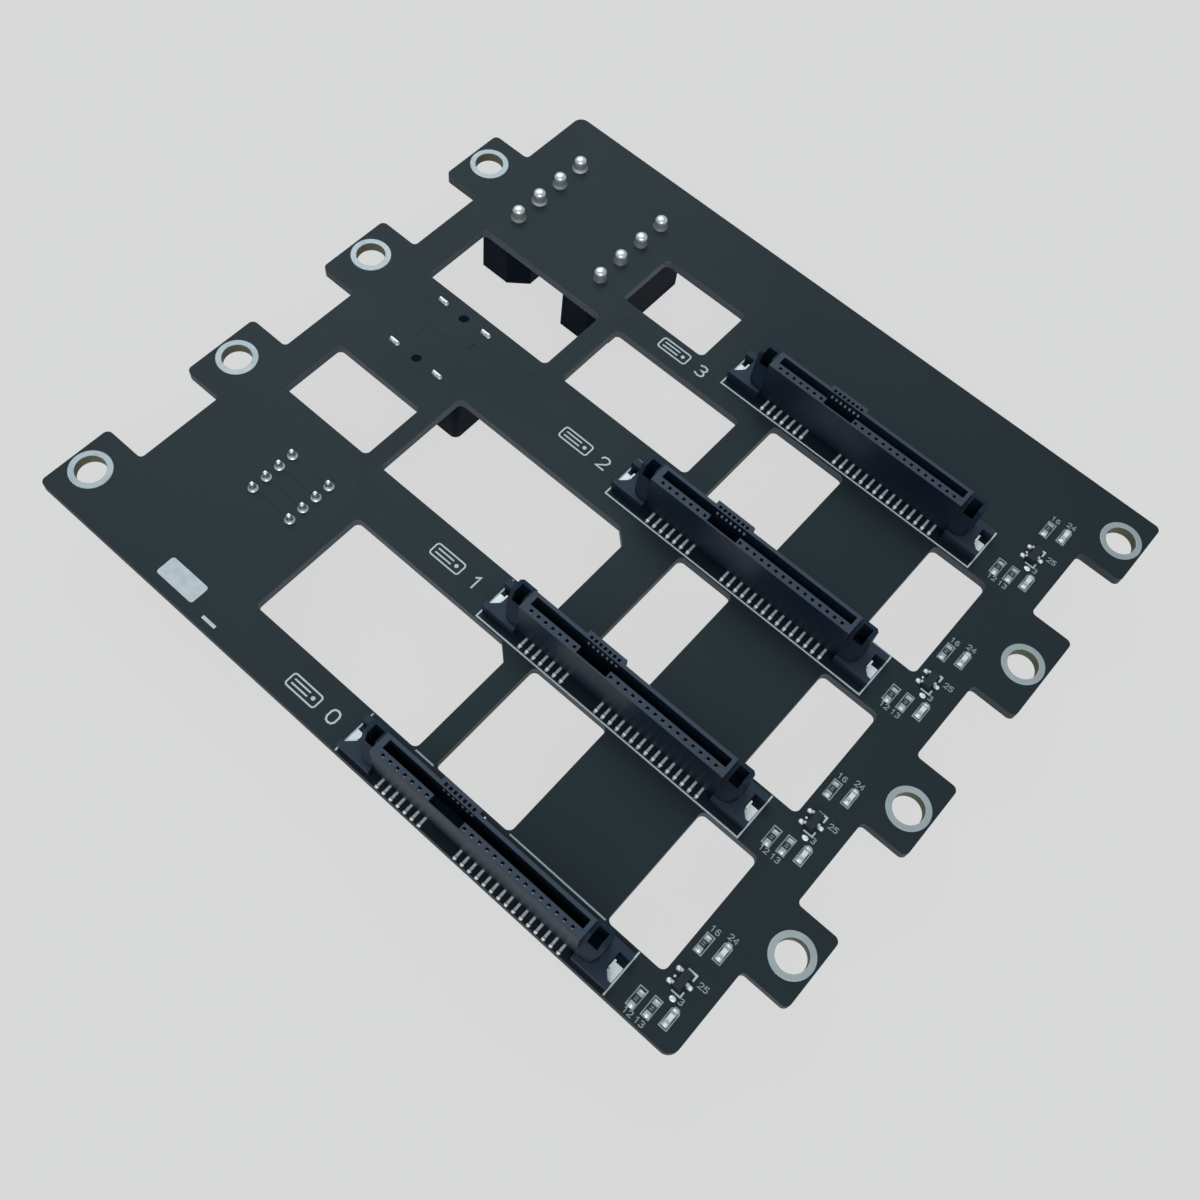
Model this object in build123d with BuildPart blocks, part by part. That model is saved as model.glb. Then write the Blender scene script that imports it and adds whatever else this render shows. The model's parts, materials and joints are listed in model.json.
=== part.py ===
from build123d import *
import os

os.makedirs("parts", exist_ok=True)

# Board outline: the origin is the middle of the main outline on the drive side, z up toward the drives
board_width = 110.25
board_depth = 108.3
board_thickness = 1.6
board_corner_radius = 1.6

# Fixing tabs along the two sides, each listed from the front of the board to the rear
tab_reach = 7.08
tab_corner_radius = 0.9
tab_root_radius = 0.7
left_tab_y = (-48.05, -20.65, 7.12, 34.4)
left_tab_width = (12.2, 13.2, 13.35, 12.1)
right_tab_y = (-34.35, -7.75, 20.5, 48.05)
right_tab_width = (11.4, 12.6, 15.5, 12.2)

# Fixing holes, one in each tab, and the bare tinned ring round each
mounting_hole_diameter = 4.6
mounting_hole_x = 58.68
left_hole_y = (-48.05, -20.5, 7.55, 35.0)
right_hole_y = (-34.35, -8.35, 20.4, 48.0)
mounting_ring_diameter = 6.4
mounting_ring_thickness = 0.05
mounting_ring_sides = 16

# Air cut-outs: middle x, middle y, width, depth
cutout_corner_radius = 0.9
air_cutouts = (
    (-37.075, 17.75, 25.0, 13.2),
    (-16.275, 35.2, 16.4, 11.3),
    (-8.7, 17.68, 24.75, 13.25),
    (14.875, 17.9, 13.5, 19.1),
    (-12.425, -10.8, 34.3, 16.9),
    (-41.025, -13.65, 17.1, 11.3),
    (-10.575, -37.1, 30.6, 19.3),
    (16.8, -9.6, 9.65, 19.3),
    (14.925, -37.0, 13.4, 19.5),
    (43.125, 17.95, 9.6, 19.2),
    (43.075, -9.72, 9.5, 19.15),
    (43.075, -37.07, 9.5, 19.55),
)
chamfered_cutouts = (4, 6)
cutout_chamfer_x = 2.4
cutout_chamfer_y = 2.2

# Bays: one drive connector each, counted from the front of the board
bay_count = 4
bay_pitch = 27.5
first_tail_y = -53.85
connector_x = 20.6

# Contact positions along a drive connector
contact_pitch = 1.27
signal_count = 7
power_count = 15
first_signal_u = -15.875
first_power_u = -1.905
second_port_count = 7
second_port_pitch = 0.8
second_port_middle_u = -5.05

# Drive connector housing, v measured back from the row of tails
body_half_length = 17.55
body_front_v = 1.15
body_rear_v = 4.5
body_lift = 0.9
body_top_z = 8.4
slot_start_u = -16.65
slot_end_u = 16.95
slot_front_v = 2.5
slot_rear_v = 3.95
slot_floor_z = 1.9
key_start_u = -7.6
key_end_u = -2.4
key_lip = 0.25
bulge_start_u = -8.3
bulge_end_u = -1.8
bulge_rear_v = 5.2
pocket_front_v = 1.62
pocket_width = 0.46
pocket_depth = 0.46
groove_top_z = 7.5
trench_depth = 0.6
rear_pocket_front_v = 4.2
rear_pocket_width = 0.46
rear_pocket_depth = 0.5
rear_window_bottom_z = 6.4
rear_window_top_z = 7.75

# Feet and guide posts at both ends of the housing
flange_end_u = 23.3
flange_front_v = 0.25
flange_rear_v = 5.9
flange_height = 2.1
post_outer_u = 20.35
post_front_v = 0.9
post_rear_v = 5.0
post_top_z = 7.6
post_front_radius = 1.7
post_rear_chamfer = 0.4
post_slope_start_v = 2.8
post_slope_foot_z = 2.6
post_pocket_inner_u = 18.1
post_pocket_outer_u = 19.7
post_pocket_front_v = 2.2
post_pocket_rear_v = 4.4
post_pocket_floor_z = 3.0

# Notch in the outer edge of each foot and the soldered clip that lies in it
notch_inner_u = 21.6
notch_rear_v = 4.8
notch_front_v = 1.2
notch_bevel_u = 22.7
notch_bevel_v = 2.3
clip_clearance = 0.1
clip_rear_v = 3.85
clip_foot_height = 0.5
clip_blade_thickness = 0.3
clip_blade_front_v = 2.6
clip_blade_height = 1.7

# Contacts, each an upright beam on a flat foot
contact_width = 0.36
contact_thickness = 0.2
tail_toe_v = -0.25
contact_tip_drop = 0.45
contact_nose_z = 5.8
contact_nose_half = 0.7
contact_nose_reach = 0.3
second_tail_toe_v = 6.35
second_contact_width = 0.34
second_nose_z = 7.1
second_nose_half = 0.5
second_nose_reach = 0.05

# Disk-drive power headers under the board: four round pins in a shroud with two cut corners
power_header_x = (-47.425, -29.695)
power_header_y = 37.59
power_pin_pitch = 5.08
power_pin_count = 4
power_pin_diameter = 2.1
power_tail_diameter = 1.7
power_tail_height = 1.9
power_tail_clearance = 0.1
power_pin_sides = 10
power_shroud_width = 8.5
power_shroud_length = 22.9
power_shroud_depth = 10.4
power_shroud_wall = 1.0
power_shroud_floor = 2.2
power_shroud_chamfer_x = 3.0
power_shroud_chamfer_y = 2.6
power_pin_recess = 1.5

# Fan headers under the board: four square pins and a friction wall each
fan_row_x = (-40.015, -32.455)
fan_header_y = -30.5
fan_pin_pitch = 2.54
fan_pin_count = 4
fan_pin_side = 0.64
fan_tail_height = 0.9
fan_base_length = 10.16
fan_base_width = 5.9
fan_base_height = 3.2
fan_wall_thickness = 1.1
fan_wall_length = 6.6
fan_wall_height = 11.4
fan_pin_reach = 10.9

# Shielded data port under the board, held by four soldered legs and two pegs
port_x = -39.55
port_y = 3.6
port_length = 18.3
port_width = 12.8
port_height = 10.4
port_corner_radius = 1.2
port_mouth_length = 15.2
port_mouth_width = 8.4
port_mouth_depth = 8.6
port_tongue_length = 12.4
port_tongue_thickness = 1.2
port_tongue_recess = 1.4
port_lane_count = 9
port_lane_pitch = 1.2
port_lane_width = 0.4
port_lane_thickness = 0.15
port_lane_length = 5.6
port_leg_x = 4.5
port_leg_y = 5.4
port_leg_width = 0.3
port_leg_length = 1.5
port_leg_height = 0.5
port_leg_depth = 6.0
port_leg_clearance = 0.25
port_peg_diameter = 1.5
port_peg_sides = 12
port_peg_y = 5.25
port_peg_clearance = 0.1

# Small parts beside each bay, placed from the row of tails
chip_length = 1.6
chip_width = 0.8
resistor_height = 0.5
resistor_places = ((47.325, 2.2), (49.525, 2.6), (49.325, 13.0))
led_height = 0.7
led_places = ((51.925, 3.3), (51.925, 13.9))
transistor_place = (50.2, 7.7)
transistor_width = 1.3
transistor_length = 2.9
transistor_height = 1.0
transistor_lift = 0.1
transistor_leg_reach = 0.6
transistor_leg_width = 0.42
transistor_leg_pitch = 1.9
transistor_leg_thickness = 0.15
transistor_leg_top = 0.6

board_top_z = 0.0
board_under_z = board_top_z - board_thickness
signal_u = [first_signal_u + contact_pitch * i for i in range(signal_count)]
power_u = [first_power_u + contact_pitch * i for i in range(power_count)]
second_start_u = second_port_middle_u - second_port_pitch * (second_port_count - 1) / 2
second_u = [second_start_u + second_port_pitch * i for i in range(second_port_count)]
left_holes = [(-mounting_hole_x, y) for y in left_hole_y]
right_holes = [(mounting_hole_x, y) for y in right_hole_y]
power_pin_y = [power_header_y + power_pin_pitch * (i - (power_pin_count - 1) / 2) for i in range(power_pin_count)]
fan_pin_y = [fan_header_y + fan_pin_pitch * (i - (fan_pin_count - 1) / 2) for i in range(fan_pin_count)]
power_pin_points = [(x, y) for x in power_header_x for y in power_pin_y]
fan_pin_points = [(x, y) for x in fan_row_x for y in fan_pin_y]
port_leg_points = [(port_x + sx * port_leg_x, port_y + sy * port_leg_y) for sx in (-1, 1) for sy in (-1, 1)]
port_peg_points = [(port_x, port_y + sy * port_peg_y) for sy in (-1, 1)]
tab_mid_x = board_width / 2 + tab_reach / 2 - tab_root_radius / 2

# Board with tabs, cut-outs and every hole that carries a pin
with BuildPart() as board:
    with BuildSketch(Plane.XY.offset(board_under_z)) as outline:
        Rectangle(board_width, board_depth)
        for y, w in zip(left_tab_y, left_tab_width):
            with Locations((-tab_mid_x, y)):
                Rectangle(tab_reach + tab_root_radius, w)
        for y, w in zip(right_tab_y, right_tab_width):
            with Locations((tab_mid_x, y)):
                Rectangle(tab_reach + tab_root_radius, w)
        tips = [v for v in outline.vertices() if abs(v.X) > board_width / 2 + tab_reach / 2]
        fillet(tips, tab_corner_radius)
        roots = [
            v
            for v in outline.vertices()
            if abs(abs(v.X) - board_width / 2) < 0.01 and abs(v.Y) < board_depth / 2 - 0.2
        ]
        fillet(roots, tab_root_radius)
        corners = [
            v
            for v in outline.vertices()
            if abs(abs(v.X) - board_width / 2) < 0.01 and abs(v.Y) > board_depth / 2 - 0.2
        ]
        fillet(corners, board_corner_radius)
        for index, (x, y, w, d) in enumerate(air_cutouts):
            with BuildSketch(mode=Mode.PRIVATE) as opening:
                with Locations((x, y)):
                    Rectangle(w, d)
                square = opening.vertices()
                if index in chamfered_cutouts:
                    far = square.sort_by(Axis.Y)[-2:].sort_by(Axis.X)[-1]
                    square = [v for v in square if v != far]
                    with Locations((x + w / 2, y + d / 2)):
                        Polygon(
                            (0, 0),
                            (-cutout_chamfer_x, 0),
                            (0, -cutout_chamfer_y),
                            align=None,
                            mode=Mode.SUBTRACT,
                        )
                    square = [
                        v
                        for v in opening.vertices()
                        if v.X < x + w / 2 - cutout_chamfer_x - 0.01 or v.Y < y + d / 2 - cutout_chamfer_y - 0.01
                    ]
                fillet(square, cutout_corner_radius)
            add(opening.sketch, mode=Mode.SUBTRACT)
        with Locations(left_holes + right_holes):
            Circle(mounting_hole_diameter / 2, mode=Mode.SUBTRACT)
        with Locations(power_pin_points):
            RegularPolygon(power_tail_diameter / 2 + power_tail_clearance, power_pin_sides, mode=Mode.SUBTRACT)
        with Locations(fan_pin_points):
            Rectangle(fan_pin_side, fan_pin_side, mode=Mode.SUBTRACT)
        with Locations(port_leg_points):
            Rectangle(
                port_leg_length + 2 * port_leg_clearance,
                port_leg_width + 2 * port_leg_clearance,
                mode=Mode.SUBTRACT,
            )
        with Locations(port_peg_points):
            RegularPolygon(port_peg_diameter / 2 + port_peg_clearance, port_peg_sides, mode=Mode.SUBTRACT)
    extrude(amount=board_thickness)
board.part.label = "board"
export_step(board.part, "parts/board.step")

# Tinned rings round the fixing holes
with BuildPart() as mounting_rings:
    with BuildSketch(Plane.XY.offset(board_top_z)):
        with Locations(left_holes + right_holes):
            RegularPolygon(mounting_ring_diameter / 2, mounting_ring_sides)
            RegularPolygon(mounting_hole_diameter / 2, mounting_ring_sides, major_radius=False, mode=Mode.SUBTRACT)
    extrude(amount=mounting_ring_thickness)
mounting_rings.part.label = "mounting_rings"
export_step(mounting_rings.part, "parts/mounting_rings.step")

# Outline of a front contact in v and z, from the toe up to the tip
beam_front_v = pocket_front_v
beam_rear_v = beam_front_v + contact_thickness
front_tip_z = body_top_z - contact_tip_drop
front_contact = (
    (tail_toe_v, 0),
    (beam_rear_v, 0),
    (beam_rear_v, contact_nose_z - contact_nose_half),
    (slot_front_v + contact_nose_reach, contact_nose_z),
    (beam_rear_v, front_tip_z),
    (beam_front_v, front_tip_z),
    (beam_front_v, contact_thickness),
    (tail_toe_v, contact_thickness),
)

# Outline of a second-port contact, its foot leaving at the rear
second_outer_v = rear_pocket_front_v + rear_pocket_depth
second_inner_v = second_outer_v - contact_thickness
second_tip_z = second_nose_z + second_nose_half
second_contact = (
    (second_tail_toe_v, 0),
    (second_inner_v, 0),
    (second_inner_v, second_nose_z - second_nose_half),
    (slot_rear_v - second_nose_reach, second_nose_z),
    (second_inner_v, second_tip_z),
    (second_outer_v, second_tip_z),
    (second_outer_v, contact_thickness),
    (second_tail_toe_v, contact_thickness),
)

# Plan of the notch in the right foot, and of the clip's foot inside it
notch_outline = (
    (notch_inner_u, notch_rear_v),
    (notch_inner_u, notch_bevel_v),
    (notch_bevel_u, notch_front_v),
    (flange_end_u, notch_front_v),
    (flange_end_u, notch_rear_v),
)
clip_inner_u = notch_inner_u + clip_clearance
clip_outer_u = flange_end_u - clip_clearance
clip_blade_u = clip_inner_u + clip_blade_thickness / 2
clip_outline = (
    (clip_inner_u, clip_rear_v),
    (clip_inner_u, notch_bevel_v + clip_clearance),
    (notch_bevel_u + clip_clearance, notch_front_v + clip_clearance),
    (clip_outer_u, notch_front_v + clip_clearance),
    (clip_outer_u, clip_rear_v),
)
flange_mid_u = (body_half_length + flange_end_u) / 2
post_mid_u = (body_half_length + post_outer_u) / 2
post_pocket_mid_u = (post_pocket_inner_u + post_pocket_outer_u) / 2
post_pocket_mid_v = (post_pocket_front_v + post_pocket_rear_v) / 2
pocket_middle_v = pocket_front_v + pocket_depth / 2
rear_pocket_middle_v = rear_pocket_front_v + rear_pocket_depth / 2

# Moulding of one drive connector, drawn with the row of tails on the x axis
with BuildPart() as moulding:
    with BuildSketch(Plane.XY.offset(body_lift)):
        with Locations((0, (body_front_v + body_rear_v) / 2)):
            Rectangle(2 * body_half_length, body_rear_v - body_front_v)
        with Locations(((bulge_start_u + bulge_end_u) / 2, (slot_rear_v + bulge_rear_v) / 2)):
            Rectangle(bulge_end_u - bulge_start_u, bulge_rear_v - slot_rear_v)
    extrude(amount=body_top_z - body_lift)
    with BuildSketch(Plane.XY.offset(body_top_z)):
        with Locations(((slot_start_u + slot_end_u) / 2, (slot_front_v + slot_rear_v) / 2)):
            Rectangle(slot_end_u - slot_start_u, slot_rear_v - slot_front_v)
        with Locations(((key_start_u + key_end_u) / 2, (body_front_v + key_lip + slot_rear_v) / 2)):
            Rectangle(key_end_u - key_start_u, slot_rear_v - body_front_v - key_lip)
    extrude(amount=slot_floor_z - body_top_z, mode=Mode.SUBTRACT)
    # Front contacts stand in grooves that open to the slot and end in a square hole on top
    with BuildSketch(Plane.XY.offset(body_lift)):
        with Locations([(u, (pocket_front_v + slot_front_v) / 2) for u in signal_u + power_u]):
            Rectangle(pocket_width, slot_front_v - pocket_front_v)
    extrude(amount=groove_top_z - body_lift, mode=Mode.SUBTRACT)
    with BuildSketch(Plane.XY.offset(groove_top_z)):
        with Locations([(u, pocket_middle_v) for u in signal_u + power_u]):
            Rectangle(pocket_width, pocket_depth)
    extrude(amount=body_top_z - groove_top_z, mode=Mode.SUBTRACT)
    # Rear contacts stand in shafts with a window near the top
    with BuildSketch(Plane.XY.offset(body_lift)):
        with Locations([(u, rear_pocket_middle_v) for u in second_u]):
            Rectangle(rear_pocket_width, rear_pocket_depth)
    extrude(amount=body_top_z - body_lift, mode=Mode.SUBTRACT)
    with BuildSketch(Plane.XY.offset(rear_window_bottom_z)):
        with Locations([(u, (slot_rear_v + rear_pocket_front_v) / 2) for u in second_u]):
            Rectangle(rear_pocket_width, rear_pocket_front_v - slot_rear_v)
    extrude(amount=rear_window_top_z - rear_window_bottom_z, mode=Mode.SUBTRACT)
    # A shallow trench under each row opens the housing from below
    with BuildSketch(Plane.XY.offset(body_lift)):
        for row in (signal_u, power_u):
            with Locations(((row[0] + row[-1]) / 2, (pocket_front_v + slot_front_v) / 2)):
                Rectangle(row[-1] - row[0] + pocket_width, slot_front_v - pocket_front_v)
        with Locations((second_port_middle_u, rear_pocket_middle_v)):
            Rectangle(second_u[-1] - second_u[0] + rear_pocket_width, rear_pocket_depth)
    extrude(amount=trench_depth, mode=Mode.SUBTRACT)
    # Feet with the notches for the clips
    with BuildSketch(Plane.XY):
        with Locations([(side * flange_mid_u, (flange_front_v + flange_rear_v) / 2) for side in (-1, 1)]):
            Rectangle(flange_end_u - body_half_length, flange_rear_v - flange_front_v)
        with BuildSketch(mode=Mode.PRIVATE) as notch:
            Polygon(*notch_outline, align=None)
            mirror(about=Plane.YZ)
        add(notch.sketch, mode=Mode.SUBTRACT)
    extrude(amount=flange_height)
    # Guide posts: rounded at the front outer corner, sloped in front, hollow from above
    with BuildSketch(Plane.XY) as post_plan:
        with Locations([(side * post_mid_u, (post_front_v + post_rear_v) / 2) for side in (-1, 1)]):
            Rectangle(post_outer_u - body_half_length, post_rear_v - post_front_v)
        outer_corners = [v for v in post_plan.vertices() if abs(abs(v.X) - post_outer_u) < 0.01]
        fillet([v for v in outer_corners if v.Y < post_slope_start_v], post_front_radius)
        outer_corners = [v for v in post_plan.vertices() if abs(abs(v.X) - post_outer_u) < 0.01]
        chamfer([v for v in outer_corners if v.Y > post_rear_v - 0.01], post_rear_chamfer)
    extrude(amount=post_top_z)
    with BuildSketch(Plane.YZ.offset(-post_mid_u), Plane.YZ.offset(post_mid_u)):
        Polygon(
            (post_front_v, post_slope_foot_z),
            (post_slope_start_v, post_top_z),
            (post_front_v, post_top_z),
            align=None,
        )
    extrude(amount=(post_outer_u - body_half_length) / 2, both=True, mode=Mode.SUBTRACT)
    with BuildSketch(Plane.XY.offset(post_top_z)):
        with Locations([(side * post_pocket_mid_u, post_pocket_mid_v) for side in (-1, 1)]):
            Rectangle(post_pocket_outer_u - post_pocket_inner_u, post_pocket_rear_v - post_pocket_front_v)
    extrude(amount=post_pocket_floor_z - post_top_z, mode=Mode.SUBTRACT)

# The metal of one drive connector: two contact rows at the front, one at the rear, two clips
with BuildPart() as signal_row:
    with BuildSketch(*[Plane.YZ.offset(u) for u in signal_u]):
        Polygon(*front_contact, align=None)
    extrude(amount=contact_width / 2, both=True)

with BuildPart() as power_row:
    with BuildSketch(*[Plane.YZ.offset(u) for u in power_u]):
        Polygon(*front_contact, align=None)
    extrude(amount=contact_width / 2, both=True)

with BuildPart() as second_row:
    with BuildSketch(*[Plane.YZ.offset(u) for u in second_u]):
        Polygon(*second_contact, align=None)
    extrude(amount=second_contact_width / 2, both=True)

with BuildPart() as clip_pair:
    with BuildSketch(Plane.XY):
        Polygon(*clip_outline, align=None)
        mirror(about=Plane.YZ)
    extrude(amount=clip_foot_height)
    with BuildSketch(Plane.XY):
        with Locations([(side * clip_blade_u, (clip_blade_front_v + clip_rear_v) / 2) for side in (-1, 1)]):
            Rectangle(clip_blade_thickness, clip_rear_v - clip_blade_front_v)
    extrude(amount=clip_blade_height)

for bay in range(bay_count):
    tail_y = first_tail_y + bay * bay_pitch
    bay_place = Location((connector_x, tail_y, board_top_z))

    # Housing of this bay's drive connector
    with BuildPart() as drive_housing:
        with Locations(bay_place):
            add(moulding.part)
    drive_housing.part.label = "drive_housing_" + str(bay)
    export_step(drive_housing.part, "parts/drive_housing_" + str(bay) + ".step")

    # Signal contacts of the first port
    with BuildPart() as signal_contacts:
        with Locations(bay_place):
            add(signal_row.part)
    signal_contacts.part.label = "signal_contacts_" + str(bay)
    export_step(signal_contacts.part, "parts/signal_contacts_" + str(bay) + ".step")

    # Power contacts
    with BuildPart() as power_contacts:
        with Locations(bay_place):
            add(power_row.part)
    power_contacts.part.label = "power_contacts_" + str(bay)
    export_step(power_contacts.part, "parts/power_contacts_" + str(bay) + ".step")

    # Contacts of the second port in the bulge
    with BuildPart() as second_port_contacts:
        with Locations(bay_place):
            add(second_row.part)
    second_port_contacts.part.label = "second_port_contacts_" + str(bay)
    export_step(second_port_contacts.part, "parts/second_port_contacts_" + str(bay) + ".step")

    # Soldered clips that hold the feet down
    with BuildPart() as hold_down_clips:
        with Locations(bay_place):
            add(clip_pair.part)
    hold_down_clips.part.label = "hold_down_clips_" + str(bay)
    export_step(hold_down_clips.part, "parts/hold_down_clips_" + str(bay) + ".step")

    # Three chip resistors
    with BuildPart() as resistors:
        with BuildSketch(Plane.XY):
            with Locations([(x, tail_y + v) for x, v in resistor_places]):
                Rectangle(chip_width, chip_length)
        extrude(amount=resistor_height)
    resistors.part.label = "resistors_" + str(bay)
    export_step(resistors.part, "parts/resistors_" + str(bay) + ".step")

    # Two status lamps
    with BuildPart() as status_lamps:
        with BuildSketch(Plane.XY):
            with Locations([(x, tail_y + v) for x, v in led_places]):
                Rectangle(chip_width, chip_length)
        extrude(amount=led_height)
    status_lamps.part.label = "status_lamps_" + str(bay)
    export_step(status_lamps.part, "parts/status_lamps_" + str(bay) + ".step")

    # Body of the switching transistor
    with BuildPart() as transistor_body:
        with BuildSketch(Plane.XY.offset(transistor_lift)):
            with Locations((transistor_place[0], tail_y + transistor_place[1])):
                Rectangle(transistor_width, transistor_length)
        extrude(amount=transistor_height)
    transistor_body.part.label = "transistor_body_" + str(bay)
    export_step(transistor_body.part, "parts/transistor_body_" + str(bay) + ".step")

# Legs of all the transistors, two on one side of a body and one on the other
leg_inner = transistor_width / 2
leg_outer = transistor_width / 2 + transistor_leg_reach
leg_profile = (
    (leg_inner, transistor_leg_top),
    (leg_inner, transistor_leg_top - transistor_leg_thickness),
    (leg_inner + transistor_leg_thickness, transistor_leg_top - transistor_leg_thickness),
    (leg_inner + transistor_leg_thickness, 0),
    (leg_outer, 0),
    (leg_outer, transistor_leg_thickness),
    (leg_inner + 2 * transistor_leg_thickness, transistor_leg_thickness),
    (leg_inner + 2 * transistor_leg_thickness, transistor_leg_top),
)
transistor_y = [first_tail_y + bay * bay_pitch + transistor_place[1] for bay in range(bay_count)]
with BuildPart() as transistor_legs:
    with BuildSketch(*[Plane.XZ.offset(-y) for y in transistor_y]):
        with Locations((transistor_place[0], 0)):
            Polygon(*leg_profile, align=None)
    extrude(amount=transistor_leg_width / 2, both=True)
    paired_y = [y + s * transistor_leg_pitch / 2 for y in transistor_y for s in (-1, 1)]
    with BuildSketch(*[Plane.XZ.offset(-y) for y in paired_y]):
        with Locations((transistor_place[0], 0)):
            Polygon(*[(-a, b) for a, b in leg_profile], align=None)
    extrude(amount=transistor_leg_width / 2, both=True)
transistor_legs.part.label = "transistor_legs"
export_step(transistor_legs.part, "parts/transistor_legs.step")

# Power headers: open shroud below the board, pins shouldered against its floor, tails through the board
shroud_half_x = power_shroud_width / 2
shroud_half_y = power_shroud_length / 2
pin_low_z = board_under_z - power_shroud_depth + power_pin_recess
pin_shoulder_z = board_under_z - power_shroud_floor
shroud_outline = (
    (-shroud_half_x, -shroud_half_y),
    (shroud_half_x - power_shroud_chamfer_x, -shroud_half_y),
    (shroud_half_x, -shroud_half_y + power_shroud_chamfer_y),
    (shroud_half_x, shroud_half_y - power_shroud_chamfer_y),
    (shroud_half_x - power_shroud_chamfer_x, shroud_half_y),
    (-shroud_half_x, shroud_half_y),
)
for name, x in zip(("a", "b"), power_header_x):
    with BuildPart() as power_header:
        with BuildSketch(Plane.XY.offset(board_under_z - power_shroud_depth)):
            with Locations((x, power_header_y)):
                Polygon(*shroud_outline, align=None)
        extrude(amount=power_shroud_depth)
        with BuildSketch(Plane.XY.offset(board_under_z - power_shroud_depth)):
            with Locations((x, power_header_y)):
                with BuildSketch(mode=Mode.PRIVATE) as mouth:
                    Polygon(*shroud_outline, align=None)
                    offset(amount=-power_shroud_wall, kind=Kind.INTERSECTION)
                add(mouth.sketch)
        extrude(amount=power_shroud_depth - power_shroud_floor, mode=Mode.SUBTRACT)
        with BuildSketch(Plane.XY.offset(board_under_z)):
            with Locations([(x, y) for y in power_pin_y]):
                Rectangle(power_tail_diameter, power_tail_diameter)
        extrude(amount=-power_shroud_floor, mode=Mode.SUBTRACT)
    power_header.part.label = "power_header_" + name
    export_step(power_header.part, "parts/power_header_" + name + ".step")

    with BuildPart() as power_pins:
        with BuildSketch(Plane.XY.offset(pin_low_z)):
            with Locations([(x, y) for y in power_pin_y]):
                RegularPolygon(power_pin_diameter / 2, power_pin_sides)
        extrude(amount=pin_shoulder_z - pin_low_z)
        with BuildSketch(Plane.XY.offset(pin_shoulder_z)):
            with Locations([(x, y) for y in power_pin_y]):
                RegularPolygon(power_tail_diameter / 2, power_pin_sides)
        extrude(amount=board_top_z + power_tail_height - pin_shoulder_z)
    power_pins.part.label = "power_pins_" + name
    export_step(power_pins.part, "parts/power_pins_" + name + ".step")

# Fan headers: base, friction wall and square pins through the board
for name, x in zip(("a", "b"), fan_row_x):
    with BuildPart() as fan_header:
        with BuildSketch(Plane.XY.offset(board_under_z - fan_base_height)):
            with Locations((x, fan_header_y)):
                Rectangle(fan_base_width, fan_base_length)
        extrude(amount=fan_base_height)
        with BuildSketch(Plane.XY.offset(board_under_z - fan_wall_height)):
            with Locations((x - fan_base_width / 2 + fan_wall_thickness / 2, fan_header_y)):
                Rectangle(fan_wall_thickness, fan_wall_length)
        extrude(amount=fan_wall_height)
        with BuildSketch(Plane.XY.offset(board_under_z)):
            with Locations([(x, y) for y in fan_pin_y]):
                Rectangle(fan_pin_side, fan_pin_side)
        extrude(amount=-fan_base_height, mode=Mode.SUBTRACT)
    fan_header.part.label = "fan_header_" + name
    export_step(fan_header.part, "parts/fan_header_" + name + ".step")

    with BuildPart() as fan_pins:
        with BuildSketch(Plane.XY.offset(board_under_z - fan_pin_reach)):
            with Locations([(x, y) for y in fan_pin_y]):
                Rectangle(fan_pin_side, fan_pin_side)
        extrude(amount=fan_pin_reach + board_thickness + fan_tail_height)
    fan_pins.part.label = "fan_pins_" + name
    export_step(fan_pins.part, "parts/fan_pins_" + name + ".step")

# Data port housing with its mouth facing down and a tongue inside
port_low_z = board_under_z - port_height
port_peg_top_z = board_top_z - 0.3
with BuildPart() as data_port:
    with BuildSketch(Plane.XY.offset(port_low_z)):
        with Locations((port_x, port_y)):
            RectangleRounded(port_length, port_width, port_corner_radius)
            Rectangle(port_mouth_length, port_mouth_width, mode=Mode.SUBTRACT)
    extrude(amount=port_mouth_depth)
    with BuildSketch(Plane.XY.offset(port_low_z + port_mouth_depth)):
        with Locations((port_x, port_y)):
            RectangleRounded(port_length, port_width, port_corner_radius)
    extrude(amount=port_height - port_mouth_depth)
    with BuildSketch(Plane.XY.offset(port_low_z + port_tongue_recess)):
        with Locations((port_x, port_y)):
            Rectangle(port_tongue_length, port_tongue_thickness)
    extrude(amount=port_mouth_depth - port_tongue_recess)
    with BuildSketch(Plane.XY.offset(board_under_z)):
        with Locations(port_peg_points):
            RegularPolygon(port_peg_diameter / 2, port_peg_sides)
    extrude(amount=port_peg_top_z - board_under_z)
    with BuildSketch(Plane.XY.offset(board_under_z - port_leg_depth)):
        with Locations(port_leg_points):
            Rectangle(port_leg_length, port_leg_width)
    extrude(amount=port_leg_depth, mode=Mode.SUBTRACT)
data_port.part.label = "data_port"
export_step(data_port.part, "parts/data_port.step")

with BuildPart() as data_port_legs:
    with BuildSketch(Plane.XY.offset(board_under_z - port_leg_depth)):
        with Locations(port_leg_points):
            Rectangle(port_leg_length, port_leg_width)
    extrude(amount=port_leg_depth + board_thickness + port_leg_height)
data_port_legs.part.label = "data_port_legs"
export_step(data_port_legs.part, "parts/data_port_legs.step")

port_lane_x = [port_x + port_lane_pitch * (i - (port_lane_count - 1) / 2) for i in range(port_lane_count)]
port_lane_y = port_tongue_thickness / 2 + port_lane_thickness / 2
with BuildPart() as data_port_contacts:
    with BuildSketch(Plane.XY.offset(port_low_z + port_mouth_depth - port_lane_length)):
        with Locations([(x, port_y + s * port_lane_y) for x in port_lane_x for s in (-1, 1)]):
            Rectangle(port_lane_width, port_lane_thickness)
    extrude(amount=port_lane_length)
data_port_contacts.part.label = "data_port_contacts"
export_step(data_port_contacts.part, "parts/data_port_contacts.step")
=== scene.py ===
import json
import math
import random

import bpy
from mathutils import Matrix, Vector


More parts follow.
